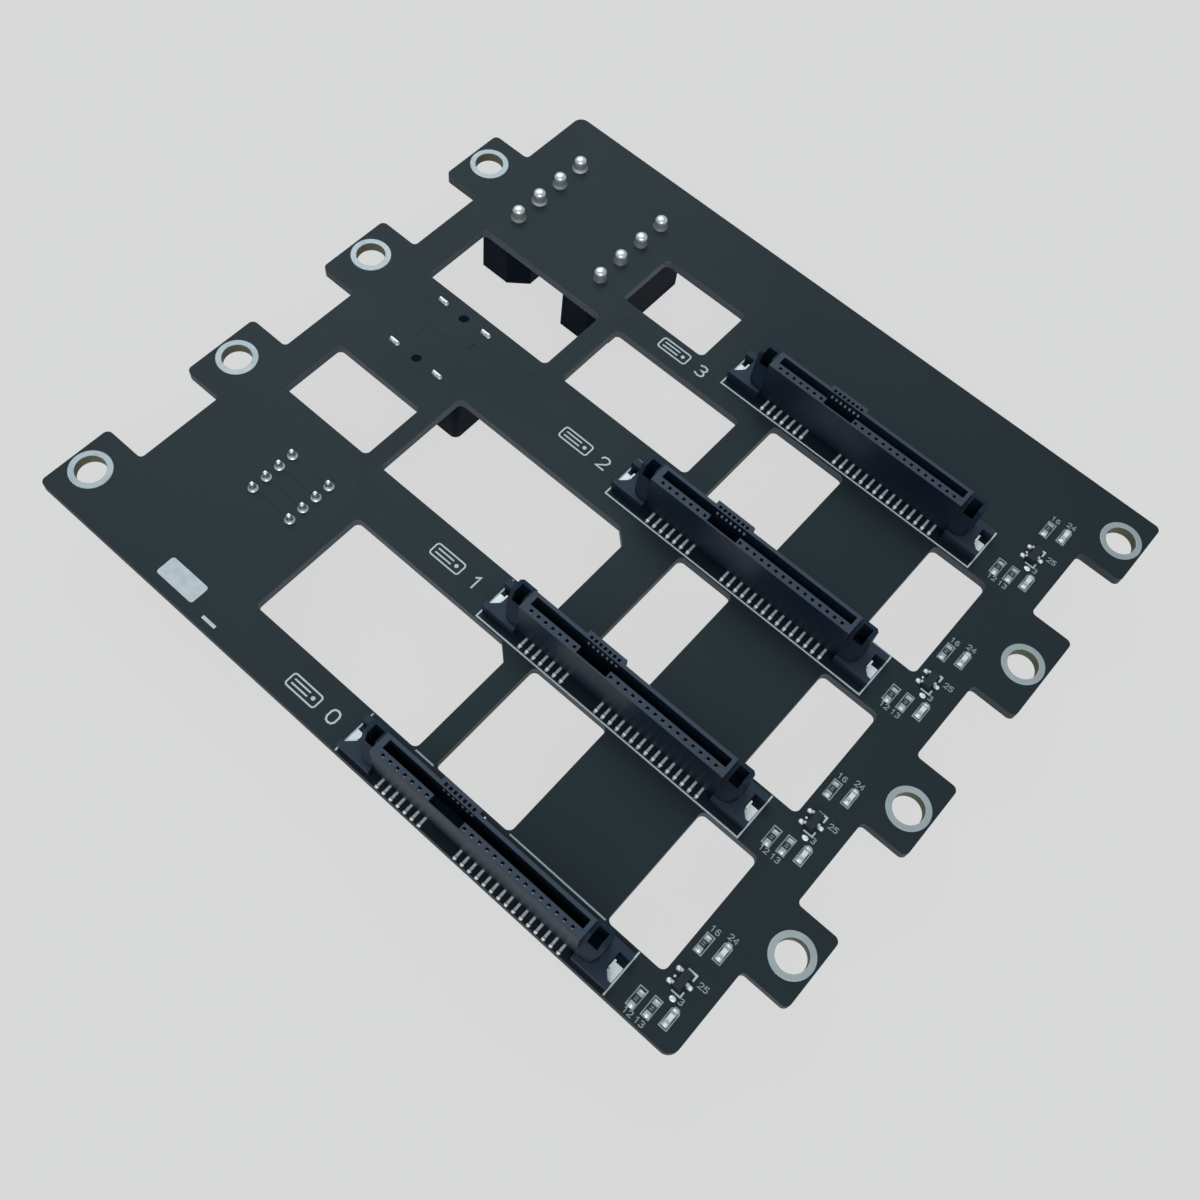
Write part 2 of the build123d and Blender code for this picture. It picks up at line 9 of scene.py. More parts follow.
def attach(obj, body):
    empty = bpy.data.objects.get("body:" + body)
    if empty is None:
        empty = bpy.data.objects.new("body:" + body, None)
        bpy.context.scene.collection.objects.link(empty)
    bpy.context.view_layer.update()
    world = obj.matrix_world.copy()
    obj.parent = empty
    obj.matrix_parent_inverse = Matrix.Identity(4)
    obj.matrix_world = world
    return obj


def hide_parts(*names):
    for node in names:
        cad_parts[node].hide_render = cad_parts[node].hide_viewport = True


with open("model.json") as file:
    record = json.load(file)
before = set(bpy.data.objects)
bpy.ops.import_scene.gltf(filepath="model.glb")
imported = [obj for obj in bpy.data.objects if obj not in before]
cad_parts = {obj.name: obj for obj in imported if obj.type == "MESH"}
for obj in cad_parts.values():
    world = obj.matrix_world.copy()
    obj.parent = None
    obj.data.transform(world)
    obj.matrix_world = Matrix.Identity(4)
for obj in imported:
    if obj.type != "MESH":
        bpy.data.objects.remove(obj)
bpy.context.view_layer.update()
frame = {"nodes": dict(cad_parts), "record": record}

# Drive backplane board, dressed over its CAD solids. Numbers ending in Mm, and all layouts, are millimetres
mm = 0.001
random.seed(7)
print("frame loaded, solids:", len(frame["nodes"]))

# Layout shared by several pieces
bayCount = 4
bayPitch = 27.5
firstTailY = -53.85
connectorX = 20.6
tailY = [firstTailY + bayPitch * bay for bay in range(bayCount)]
undersideZ = -1.6

# How far an open stroke reaches past its end, as a share of half its width, and the sharpest mitre
strokeReach = 0.8
mitreLimit = 0.5


# Mesh helpers
def boxOf(x0, y0, x1, y1):
    return [(x0, y0), (x1, y0), (x1, y1), (x0, y1)]


class MeshPot:
    # Gathers many small shapes into one mesh
    def __init__(self):
        self.verts = []
        self.faces = []

    def add(self, verts, faces):
        start = len(self.verts)
        self.verts.extend(verts)
        self.faces.extend([tuple(start + i for i in face) for face in faces])

    def outlinePlate(self, points, z, rise):
        # A closed outline raised from z by rise, closed at its far side and round its edge
        count = len(points)
        area = sum(points[i - 1][0] * points[i][1] - points[i][0] * points[i - 1][1] for i in range(count))
        ring = points if area > 0 else points[::-1]
        verts = [(x, y, z) for x, y in ring] + [(x, y, z + rise) for x, y in ring]
        faces = [tuple(range(count, 2 * count)) if rise > 0 else tuple(range(2 * count - 1, count - 1, -1))]
        for i in range(count):
            j = (i + 1) % count
            faces.append((i, j, count + j, count + i) if rise > 0 else (j, i, count + i, count + j))
        self.add(verts, faces)

    def ribbon(self, points, width, z, rise, closed=False):
        # A stroke of even width with mitred corners
        half = width / 2
        count = len(points)
        left, right = [], []
        for i, (x, y) in enumerate(points):
            before = points[i - 1] if (i > 0 or closed) else None
            after = points[(i + 1) % count] if (i < count - 1 or closed) else None
            dirs = []
            for a, b in ((before, (x, y)), ((x, y), after)):
                if a is not None and b is not None:
                    d = Vector((b[0] - a[0], b[1] - a[1]))
                    if d.length > 1e-9:
                        dirs.append(d.normalized())
            if not dirs:
                continue
            middle = sum(dirs, Vector((0, 0)))
            middle = middle.normalized() if middle.length > 1e-6 else dirs[0]
            normal = Vector((-middle.y, middle.x))
            reach = half / max(mitreLimit, abs(normal.dot(Vector((-dirs[0].y, dirs[0].x)))))
            if not closed and i in (0, count - 1):
                out = half * strokeReach * (-1 if i == 0 else 1)
                x, y = x + dirs[0].x * out, y + dirs[0].y * out
            left.append((x + normal.x * reach, y + normal.y * reach))
            right.append((x - normal.x * reach, y - normal.y * reach))
        n = len(left)
        verts = [(x, y, height) for height in (z + rise, z) for x, y in left + right]
        faces = []
        for i in range(n if closed else n - 1):
            j = (i + 1) % n
            quads = [(i, n + i, n + j, j), (2 * n + i, i, j, 2 * n + j), (n + i, 3 * n + i, 3 * n + j, n + j)]
            faces.extend(quads if rise > 0 else [q[::-1] for q in quads])
        self.add(verts, faces)

    def lathe(self, centre, profile, segments, turn=0.0, squash=(1.0, 1.0)):
        # A profile of (radius, height) turned round a vertical axis, closed where a radius is zero
        cx, cy, cz = centre
        verts, rings = [], []
        for radius, height in profile:
            if radius < 1e-6:
                rings.append([len(verts)] * segments)
                verts.append((cx, cy, cz + height))
                continue
            rings.append(list(range(len(verts), len(verts) + segments)))
            for k in range(segments):
                a = turn + 2 * math.pi * k / segments
                x, y = cx + radius * squash[0] * math.cos(a), cy + radius * squash[1] * math.sin(a)
                verts.append((x, y, cz + height))
        faces = []
        rising = profile[-1][1] >= profile[0][1]
        for a, b in zip(rings[:-1], rings[1:]):
            for k in range(segments):
                m = (k + 1) % segments
                face = [a[k], a[m], b[m], b[k]]
                face = [v for i, v in enumerate(face) if v not in face[:i]]
                if len(face) > 2:
                    faces.append(tuple(face) if rising else tuple(face[::-1]))
        self.add(verts, faces)

    def brick(self, low, high):
        (x0, y0, z0), (x1, y1, z1) = low, high
        verts = [(x, y, z) for z in (z0, z1) for x, y in boxOf(x0, y0, x1, y1)]
        self.add(verts, [(0, 3, 2, 1), (4, 5, 6, 7), (0, 1, 5, 4), (1, 2, 6, 5), (2, 3, 7, 6), (3, 0, 4, 7)])

    def plainStroke(self, a, b, width, rise, z=0.0):
        # A straight bar with square ends
        way = (Vector(b) - Vector(a)).normalized() * width / 2
        points = [(a[0] + way.y, a[1] - way.x), (b[0] + way.y, b[1] - way.x),
                  (b[0] - way.y, b[1] + way.x), (a[0] - way.y, a[1] + way.x)]
        self.outlinePlate(points, z, rise)

    def ringBand(self, centre, section, segments):
        # A flat band round a hole, its section given as (radius, height) from the outside in
        cx, cy, cz = centre
        verts, faces = [], []
        for k in range(segments):
            a = 2 * math.pi * k / segments
            verts += [(cx + r * math.cos(a), cy + r * math.sin(a), cz + h) for r, h in section]
        count = len(section)
        upward = max(section, key=lambda point: abs(point[1]))[1] > 0
        for k in range(segments):
            m = (k + 1) % segments
            for i in range(count - 1):
                face = (k * count + i, m * count + i, m * count + i + 1, k * count + i + 1)
                faces.append(face if upward else face[::-1])
        self.add(verts, faces)

    def stack(self, outlines, levels):
        # Outlines of equal count one above another, closed on top
        verts, faces = [], []
        count = len(outlines[0])
        for outline, z in zip(outlines, levels):
            verts += [(x, y, z) for x, y in outline]
        for a in range(0, (len(outlines) - 1) * count, count):
            for k in range(count):
                m = (k + 1) % count
                faces.append((a + k, a + m, a + count + m, a + count + k))
        top = (len(outlines) - 1) * count
        faces.append(tuple(top + k for k in range(count)))
        self.add(verts, faces)

    def make(self, name, material, slotName, smooth=False):
        mesh = bpy.data.meshes.new(name)
        mesh.from_pydata([Vector(v) * mm for v in self.verts], [], self.faces)
        mesh.update()
        piece = bpy.data.objects.new(name, mesh)
        bpy.context.scene.collection.objects.link(piece)
        piece.data.materials.append(material)
        if smooth:
            for poly in mesh.polygons:
                poly.use_smooth = True
        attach(piece, "root")
        return piece


def roundedBox(x0, y0, x1, y1, radius, corners=4):
    points = []
    left, front, right, rear = x0 + radius, y0 + radius, x1 - radius, y1 - radius
    for quarter, (cx, cy) in enumerate(((right, rear), (left, rear), (left, front), (right, front))):
        for k in range(corners + 1):
            a = math.radians(90 * quarter + 90 * k / corners)
            points.append((cx + radius * math.cos(a), cy + radius * math.sin(a)))
    return points


def roundedPad(x, y, halfX, halfY, radius, corners):
    return roundedBox(x - halfX, y - halfY, x + halfX, y + halfY, radius, corners)


# Shader helpers
def rgba(color):
    return (*color, 1)


class NodeTree:
    # Makes and joins the nodes of one tree. A socket is linked, and any other value is set
    def __init__(self, tree, empty=False):
        self.nodes = tree.nodes
        self.link = tree.links.new
        if empty:
            tree.nodes.clear()

    def feed(self, socket, value):
        if isinstance(value, bpy.types.NodeSocket):
            self.link(value, socket)
        else:
            socket.default_value = value

    def fill(self, node, values):
        for key, value in values.items():
            self.feed(node.inputs[key], value)
        return node.outputs

    def add(self, kind, values=None):
        return self.fill(self.nodes.new("ShaderNode" + kind), values or {})

    def math(self, operation, *values, clamp=False):
        node = self.nodes.new("ShaderNodeMath")
        node.operation = operation
        node.use_clamp = clamp
        return self.fill(node, dict(enumerate(values)))["Value"]

    def ramp(self, value, fromLow, fromHigh, toLow=0.0, toHigh=1.0, curve="LINEAR"):
        node = self.nodes.new("ShaderNodeMapRange")
        node.interpolation_type = curve
        spans = {"Value": value, "From Min": fromLow, "From Max": fromHigh, "To Min": toLow, "To Max": toHigh}
        return self.fill(node, spans)["Result"]

    def blend(self, share, a, b):
        node = self.nodes.new("ShaderNodeMix")
        node.data_type = "RGBA"
        return self.fill(node, {"Factor": share, "A": a, "B": b})["Result"]

    def group(self, group, values):
        node = self.nodes.new("ShaderNodeGroup")
        node.node_tree = group
        return self.fill(node, values)


# Shader node groups used by more than one finish
def newGroup(name, inputs, outputs):
    group = bpy.data.node_groups.new(name, "ShaderNodeTree")
    for label, value in inputs.items():
        kind = "NodeSocketColor" if isinstance(value, tuple) else "NodeSocketFloat"
        group.interface.new_socket(name=label, in_out="INPUT", socket_type=kind).default_value = value
    for label, kind in outputs.items():
        group.interface.new_socket(name=label, in_out="OUTPUT", socket_type=kind)
    ins, outs = group.nodes.new("NodeGroupInput"), group.nodes.new("NodeGroupOutput")
    return group, NodeTree(group), ins.outputs, outs.inputs


def makeGrainGroup():
    # Fine moulded or coated grain with slow cloudy changes of tone
    midGrey = (0.5, 0.5, 0.5, 1)
    group, tree, ins, outs = newGroup(
        "surfaceGrain",
        {"Color": midGrey, "Tint": midGrey, "Grain Scale": 2500.0, "Cloud Scale": 30.0, "Cloud Amount": 0.5,
         "Roughness": 0.5, "Roughness Spread": 0.1},
        {"Color": "NodeSocketColor", "Roughness": "NodeSocketFloat", "Height": "NodeSocketFloat"})
    place = tree.add("TexCoord")["Object"]
    grain = tree.add("TexNoise", {"Vector": place, "Scale": ins["Grain Scale"], "Detail": 3.0})["Fac"]
    cloud = tree.add("TexNoise", {"Vector": place, "Scale": ins["Cloud Scale"], "Detail": 4.0, "Roughness": 0.6})["Fac"]
    share = tree.math("MULTIPLY", tree.ramp(cloud, 0.35, 0.65), ins["Cloud Amount"])
    shift = tree.math("SUBTRACT", grain, 0.5)
    tree.feed(outs["Color"], tree.blend(share, ins["Color"], ins["Tint"]))
    tree.feed(outs["Roughness"], tree.math("MULTIPLY_ADD", shift, ins["Roughness Spread"], ins["Roughness"]))
    tree.feed(outs["Height"], grain)
    return group


def makeSmudgeGroup():
    # Soft handling marks and settled dust: a mask that is mostly low with a few wide patches
    group, tree, ins, outs = newGroup("handlingMarks", {"Scale": 45.0, "Cover": 0.5}, {"Mask": "NodeSocketFloat"})
    place = tree.add("TexCoord")["Object"]
    wide = tree.add("TexNoise", {"Vector": place, "Scale": ins["Scale"], "Detail": 5.0, "Distortion": 0.8})["Fac"]
    patches = tree.ramp(wide, 0.45, 0.75, curve="SMOOTHSTEP")
    tree.feed(outs["Mask"], tree.math("MULTIPLY", patches, ins["Cover"]))
    return group


grainGroup = makeGrainGroup()
smudgeGroup = makeSmudgeGroup()

# What a finish has where its own dictionary says nothing else
commonLook = {"cloudAmount": 0.6, "roughnessSpread": 0.12, "markCover": 0.08, "bump": 0.12, "bumpDepthMm": 0.01,
              "metallic": 0.0, "specular": 0.5, "specularTint": (1.0, 1.0, 1.0)}


def startFinish(name, ownLook):
    # Surface grain and handling marks into a Principled shader. Also gives the tone before any change to it
    look = {**commonLook, **ownLook}
    material = bpy.data.materials.new(name)
    material.use_nodes = True
    tree = NodeTree(material.node_tree)
    shader = tree.nodes["Principled BSDF"]
    grain = tree.group(grainGroup, {
        "Color": rgba(look["color"]), "Tint": rgba(look["tint"]), "Grain Scale": look["grainScale"],
        "Cloud Scale": look["cloudScale"], "Cloud Amount": look["cloudAmount"], "Roughness": look["roughness"],
        "Roughness Spread": look["roughnessSpread"]})
    marks = tree.group(smudgeGroup, {"Scale": look["markScale"], "Cover": look["markCover"]})
    bump = tree.add("Bump", {
        "Strength": look["bump"], "Distance": look["bumpDepthMm"] * mm, "Height": grain["Height"]})
    tree.fill(shader, {
        "Base Color": grain["Color"], "Normal": bump["Normal"], "Metallic": look["metallic"],
        "Roughness": tree.math("ADD", grain["Roughness"], marks["Mask"], clamp=True),
        "Specular Tint": rgba(look["specularTint"]), "Specular IOR Level": look["specular"]})
    material.diffuse_color = rgba(look["color"])
    return material, tree, shader, grain["Color"]


def laminateFinish(name, look):
    # Coated faces and bare routed edges of one board, told apart by the way they face
    material, tree, shader, coated = startFinish(name, look)
    place = tree.add("TexCoord")
    facing = tree.add("SeparateXYZ", {"Vector": place["Normal"]})["Z"]
    isEdge = tree.math("LESS_THAN", tree.math("ABSOLUTE", facing), 0.5)
    # Layers of glass cloth show as fine level bands on a routed edge
    stretched = tree.add("Mapping", {"Vector": place["Object"], "Scale": look["bandScale"]})["Vector"]
    bands = tree.add("TexNoise", {"Vector": stretched, "Scale": 1.0, "Detail": 2.0})["Fac"]
    edgeTone = tree.blend(bands, rgba(look["edgeDark"]), rgba(look["edgeLight"]))
    # Painted shade: the outer edges are darker than those of the cut-outs, the front and rear ones most
    spot = tree.add("SeparateXYZ", {"Vector": place["Object"]})
    edgeShadeShares = []
    for axis, limit, share in zip("XY", look["outerFromMm"], look["outerShade"]):
        beyond = tree.math("GREATER_THAN", tree.math("ABSOLUTE", spot[axis]), limit * mm)
        edgeShadeShares.append(tree.math("MULTIPLY", beyond, share))
    shadedEdgeTone = tree.blend(tree.math("MAXIMUM", *edgeShadeShares), edgeTone, rgba(look["outerShadeTone"]))
    tree.feed(shader.inputs["Base Color"], tree.blend(isEdge, coated, shadedEdgeTone))
    # A cut edge is duller than the coating
    sheen = tree.ramp(isEdge, 0.0, 1.0, look["specular"], look["edgeSpecular"])
    tree.feed(shader.inputs["Specular IOR Level"], sheen)
    return material


def crestFinish(name, look):
    # A moulding with a painted highlight: where level, its high rims and low ledges are painted paler than its sides
    # and hollows, standing in for the light they catch from above
    material, tree, shader, plain = startFinish(name, look)
    place = tree.add("TexCoord")
    facing = tree.add("SeparateXYZ", {"Vector": place["Normal"]})["Z"]
    height = tree.add("SeparateXYZ", {"Vector": place["Object"]})["Z"]
    level = tree.ramp(facing, *look["levelFrom"], curve="SMOOTHSTEP")
    high = tree.ramp(height, *(edge * mm for edge in look["crestFromMm"]), curve="SMOOTHSTEP")
    ledge = tree.math("COMPARE", height, look["ledgeMm"] * mm, look["ledgeWithinMm"] * mm)
    pale = tree.math("MULTIPLY_ADD", ledge, look["ledgeShare"], high, clamp=True)
    share = tree.math("MULTIPLY", tree.math("MULTIPLY", level, pale), look["rimHighlightShare"])
    # Mix the painted highlight colour over the plain tone
    tree.feed(shader.inputs["Base Color"], tree.blend(share, plain, rgba(look["crest"])))
    return material


# Values that related finishes share
contactLook = {"grainScale": 4200.0, "cloudScale": 420.0, "markScale": 500.0, "bumpDepthMm": 0.005}
solderLook = {"cloudAmount": 0.7, "roughness": 0.30, "roughnessSpread": 0.16, "markScale": 700.0, "markCover": 0.10}
inkLook = {"grainScale": 4200.0, "roughness": 0.62, "markScale": 300.0, "bump": 0.2}
maskLook = {"grainScale": 2600.0, "cloudScale": 40.0, "roughness": 0.50, "roughnessSpread": 0.10, "markScale": 60.0,
            "markCover": 0.06, "specularTint": (0.74, 0.93, 1.0)}

plainFinishes = {
    "tinPlate": {
        "color": (0.42, 0.46, 0.48), "tint": (0.35, 0.39, 0.41), "grainScale": 1800.0, "cloudScale": 160.0,
        "cloudAmount": 0.7, "roughness": 0.46, "markScale": 300.0, "markCover": 0.10, "metallic": 0.55},
    "shroudMoulding": {
        "color": (0.004, 0.0065, 0.014), "tint": (0.006, 0.009, 0.018), "grainScale": 3800.0, "cloudScale": 70.0,
        "roughness": 0.50, "markScale": 90.0, "markCover": 0.10, "bump": 0.25, "bumpDepthMm": 0.015,
        "specular": 0.025, "specularTint": (0.55, 0.75, 1.0)},
    "contactMetal": {
        **contactLook, "color": (0.66, 0.68, 0.69), "tint": (0.56, 0.58, 0.59), "roughness": 0.36, "metallic": 0.35},
    "shadedContact": {
        **contactLook, "color": (0.18, 0.19, 0.20), "tint": (0.13, 0.14, 0.15), "roughness": 0.42, "metallic": 0.6},
    "clipMetal": {
        "color": (0.84, 0.86, 0.87), "tint": (0.74, 0.76, 0.77), "grainScale": 3000.0, "cloudScale": 520.0,
        "roughness": 0.42, "markScale": 600.0, "bump": 0.15, "bumpDepthMm": 0.008, "metallic": 0.35},
    "solderJoint": {
        **solderLook, "color": (0.90, 0.92, 0.93), "tint": (0.74, 0.76, 0.77), "grainScale": 1900.0,
        "cloudScale": 900.0, "bump": 0.25, "bumpDepthMm": 0.02, "metallic": 0.35, "specular": 0.6},
    "pinCoat": {
        **solderLook, "color": (0.80, 0.82, 0.82), "tint": (0.64, 0.66, 0.66), "grainScale": 1500.0,
        "cloudScale": 700.0, "bump": 0.3, "bumpDepthMm": 0.03, "metallic": 0.8},
    "resistorBody": {
        "color": (0.022, 0.022, 0.026), "tint": (0.034, 0.034, 0.040), "grainScale": 5200.0, "cloudScale": 900.0,
        "roughness": 0.38, "markScale": 800.0, "bump": 0.15, "bumpDepthMm": 0.005},
    "lampBody": {
        "color": (0.74, 0.78, 0.76), "tint": (0.62, 0.66, 0.64), "grainScale": 3200.0, "cloudScale": 700.0,
        "roughness": 0.30, "roughnessSpread": 0.10, "markScale": 600.0, "bump": 0.10, "bumpDepthMm": 0.005},
    "transistorPlastic": {
        "color": (0.0165, 0.0230, 0.0285), "tint": (0.020, 0.027, 0.033), "grainScale": 5600.0, "cloudScale": 500.0,
        "roughness": 0.50, "markScale": 500.0, "bump": 0.2, "specular": 0.26, "specularTint": (0.84, 0.93, 1.0)},
    "boardInk": {
        **inkLook, "color": (0.56, 0.61, 0.63), "tint": (0.44, 0.49, 0.52), "cloudScale": 800.0, "cloudAmount": 0.7,
        "specular": 0.35},
    "partInk": {
        **inkLook, "color": (0.30, 0.34, 0.37), "tint": (0.22, 0.26, 0.29), "cloudScale": 1100.0, "cloudAmount": 0.8,
        "specular": 0.3},
    "bareLaminate": {
        "color": (0.13, 0.125, 0.070), "tint": (0.09, 0.092, 0.060), "grainScale": 2600.0, "cloudScale": 500.0,
        "cloudAmount": 0.8, "roughness": 0.6, "markScale": 300.0, "bump": 0.25, "bumpDepthMm": 0.02,
        "specular": 0.35},
    # The darker patch laid inside each connector outline
    "darkFootprintMask": {
        **maskLook, "color": (0.005, 0.008, 0.013), "tint": (0.008, 0.011, 0.016), "roughness": 0.46,
        "specular": 0.24, "specularTint": (0.74, 0.90, 1.0)},
    "traceShade": {
        **maskLook, "color": (0.0080, 0.0122, 0.0168), "tint": (0.0100, 0.0148, 0.0198), "specular": 0.26}}
finish = {name: startFinish(name, look)[0] for name, look in plainFinishes.items()}
# Board coating, whose outer routed edges take a painted shade, darkest at the front and rear
finish["solderMask"] = laminateFinish("solderMask", {
    **maskLook, "color": (0.0105, 0.0152, 0.0195), "tint": (0.0135, 0.0186, 0.0232), "cloudScale": 22.0,
    "cloudAmount": 0.7, "markScale": 26.0, "specular": 0.28, "edgeSpecular": 0.10,
    "outerFromMm": (54.6, 53.8), "outerShade": (0.45, 1.0), "outerShadeTone": (0.017, 0.022, 0.025),
    "edgeDark": (0.060, 0.068, 0.078), "edgeLight": (0.120, 0.132, 0.146), "bandScale": (90.0, 90.0, 3200.0)})
# Black moulding, with a painted highlight on its level rims and ledges
finish["blackMoulding"] = crestFinish("blackMoulding", {
    "color": (0.006, 0.010, 0.020), "tint": (0.009, 0.014, 0.026), "grainScale": 5200.0, "cloudScale": 90.0,
    "roughness": 0.46, "roughnessSpread": 0.10, "markScale": 120.0, "bump": 0.18,
    "specular": 0.32, "specularTint": (0.45, 0.70, 1.0), "levelFrom": (0.45, 0.95), "crestFromMm": (7.85, 8.3),
    "crest": (0.058, 0.064, 0.084), "rimHighlightShare": 0.8, "ledgeMm": 2.1, "ledgeWithinMm": 0.05, "ledgeShare": 0.45})
print("finishes made")

# Every CAD solid keeps its shape and takes the finish of its slot
slotFinish = {
    "solder_mask": "solderMask", "tin_plate": "tinPlate", "black_plastic": "blackMoulding",
    "contact_metal": "contactMetal", "clip_metal": "clipMetal", "shroud_plastic": "shroudMoulding",
    "resistor_body": "resistorBody", "lamp_body": "lampBody", "transistor_plastic": "transistorPlastic"}
nodeFinish = {"data_port": "shroudMoulding"}
# The second port's contacts take a darker, duller copy of the contact metal, painted shade for where they sit in the
# housing
nodeFinish.update({f"second_port_contacts_{bay}": "shadedContact" for bay in range(bayCount)})
edgeBreakMm = {"drive_housing": 0.12, "power_header": 0.4, "fan_header": 0.15, "data_port": 0.15,
               "resistors": 0.05, "hold_down_clips": 0.04}
softEdge = {"weldMm": 0.002, "flatDegrees": 1.0, "breakDegrees": 40, "segments": 2}


def breakEdges(piece, widthMm):
    soft = piece.modifiers.new("breakEdges", "BEVEL")
    soft.width = widthMm * mm
    soft.segments = softEdge["segments"]
    return soft


slotOf = {part["node"]: part["material_slot"] for part in frame["record"]["subparts"]}
for nodeName, node in frame["nodes"].items():
    for holder in node.material_slots:
        holder.material = finish[nodeFinish.get(nodeName, slotFinish[slotOf[nodeName]])]
    for start, widthMm in edgeBreakMm.items():
        if nodeName.startswith(start) and "contacts" not in nodeName and "legs" not in nodeName:
            weld = node.modifiers.new("joinCorners", "WELD")
            weld.merge_threshold = softEdge["weldMm"] * mm
            flat = node.modifiers.new("joinFlats", "DECIMATE")
            flat.decimate_type = "DISSOLVE"
            flat.angle_limit = math.radians(softEdge["flatDegrees"])
            soft = breakEdges(node, widthMm)
            soft.limit_method = "ANGLE"
            soft.angle_limit = math.radians(softEdge["breakDegrees"])
print("solids dressed")

# Printing: thin raised ink
ink = {"riseMm": 0.02, "lineMm": 0.24, "fineMm": 0.17, "heavyMm": 0.28, "digitStep": 0.98}

# Digits as strokes one unit high, each with whether it is closed
digitStrokes = {
    "0": ([(0.35, 0), (0.12, 0.07), (0, 0.28), (0, 0.72), (0.12, 0.93), (0.35, 1), (0.58, 0.93), (0.7, 0.72),
           (0.7, 0.28), (0.58, 0.07)], True),
    "1": ([(0.1, 0.78), (0.36, 1), (0.36, 0)], False),
    "2": ([(0, 0.76), (0.1, 0.93), (0.35, 1), (0.6, 0.93), (0.7, 0.74), (0.6, 0.52), (0, 0), (0.7, 0)], False),
    "3": ([(0.02, 0.9), (0.3, 1), (0.58, 0.94), (0.67, 0.76), (0.56, 0.57), (0.28, 0.52), (0.58, 0.47), (0.7, 0.27),
           (0.6, 0.07), (0.32, 0), (0, 0.1)], False),
    "4": ([(0.72, 0.32), (0, 0.32), (0.52, 1), (0.52, 0)], False),
    "5": ([(0.66, 1), (0.1, 1), (0.05, 0.56), (0.35, 0.63), (0.62, 0.54), (0.7, 0.3), (0.58, 0.07), (0.32, 0),
           (0, 0.1)], False),
    "6": ([(0.62, 0.9), (0.38, 1), (0.12, 0.88), (0, 0.5), (0.06, 0.14), (0.34, 0), (0.62, 0.1), (0.7, 0.32),
           (0.58, 0.52), (0.34, 0.58), (0.06, 0.46)], False)}


def printNumber(pot, text, x, y, height, width, below=False):
    # Digits from the baseline start at (x, y), mirrored on the underside, where they are read from below
    way, z, rise = (-1, undersideZ, -ink["riseMm"]) if below else (1, 0.0, ink["riseMm"])
    for k, digit in enumerate(text):
        stroke, closed = digitStrokes[digit]
        points = [(x + way * (px + k * ink["digitStep"]) * height, y + py * height) for px, py in stroke]
        pot.ribbon(points, width, z, rise, closed)


def printOutline(pot, points, width=ink["lineMm"], below=False):
    pot.ribbon(points, width, undersideZ if below else 0.0, -ink["riseMm"] if below else ink["riseMm"], True)


# Where ink may lie: inside the main outline and clear of the cut-outs
boardHalf = (55.125, 54.15)
inkMarginMm = 0.12
shortestRunMm = 0.4
cutOuts = (
    (-37.075, 17.75, 25.0, 13.2), (-16.275, 35.2, 16.4, 11.3), (-8.7, 17.68, 24.75, 13.25),
    (14.875, 17.9, 13.5, 19.1), (-12.425, -10.8, 34.3, 16.9), (-41.025, -13.65, 17.1, 11.3),
    (-10.575, -37.1, 30.6, 19.3), (16.8, -9.6, 9.65, 19.3), (14.925, -37.0, 13.4, 19.5),
    (43.125, 17.95, 9.6, 19.2), (43.075, -9.72, 9.5, 19.15), (43.075, -37.07, 9.5, 19.55))


def frontLimit(keepMm):
    return keepMm - boardHalf[1]


def onBoard(x, y):
    if abs(x) > boardHalf[0] - inkMarginMm or abs(y) > boardHalf[1] - inkMarginMm:
        return False
    return all(abs(x - cx) > w / 2 + inkMarginMm or abs(y - cy) > d / 2 + inkMarginMm for cx, cy, w, d in cutOuts)


def boardRuns(a, b, step):
    # The stretches of a straight line that lie on the board
    count = max(2, int(math.dist(a, b) / step))
    runs, start, last = [], None, None
    for k in range(count + 1):
        point = (a[0] + (b[0] - a[0]) * k / count, a[1] + (b[1] - a[1]) * k / count)
        if onBoard(*point):
            start = point if start is None else start
            last = point
        elif start is not None:
            runs.append((start, last))
            start = None
    if start is not None:
        runs.append((start, last))
    return [run for run in runs if math.dist(*run) > shortestRunMm]


# Outline round each drive connector, with a darker patch of board inside it
bayOutline = {"leftMm": -2.95, "rightMm": 44.1, "frontMm": -0.77, "rearMm": 7.0, "alongStepMm": 0.05,
              "acrossStepMm": 0.1, "footprintRiseMm": 0.008, "footprintKeepMm": 0.02}
pot, patchPot = MeshPot(), MeshPot()
for y in tailY:
    line, half = ink["lineMm"], ink["lineMm"] / 2
    left, right = bayOutline["leftMm"], bayOutline["rightMm"]
    front, rear = y + bayOutline["frontMm"], y + bayOutline["rearMm"]
    sides = [((left, level), (right, level), bayOutline["alongStepMm"]) for level in (front, rear)]
    sides += [((x, front + half), (x, rear - half), bayOutline["acrossStepMm"]) for x in (left + half, right - half)]
    for side in sides:
        for a, b in boardRuns(*side):
            pot.plainStroke(a, b, line, ink["riseMm"])
    low = max(front + line, frontLimit(bayOutline["footprintKeepMm"]))
    patch = boxOf(left + line, low, right - line, rear - line)
    patchPot.outlinePlate(patch, 0.0, bayOutline["footprintRiseMm"])
pot.make("bayOutlinePrint", finish["boardInk"], "lamp_body")
patchPot.make("bayFootprints", finish["darkFootprintMask"], "solder_mask")

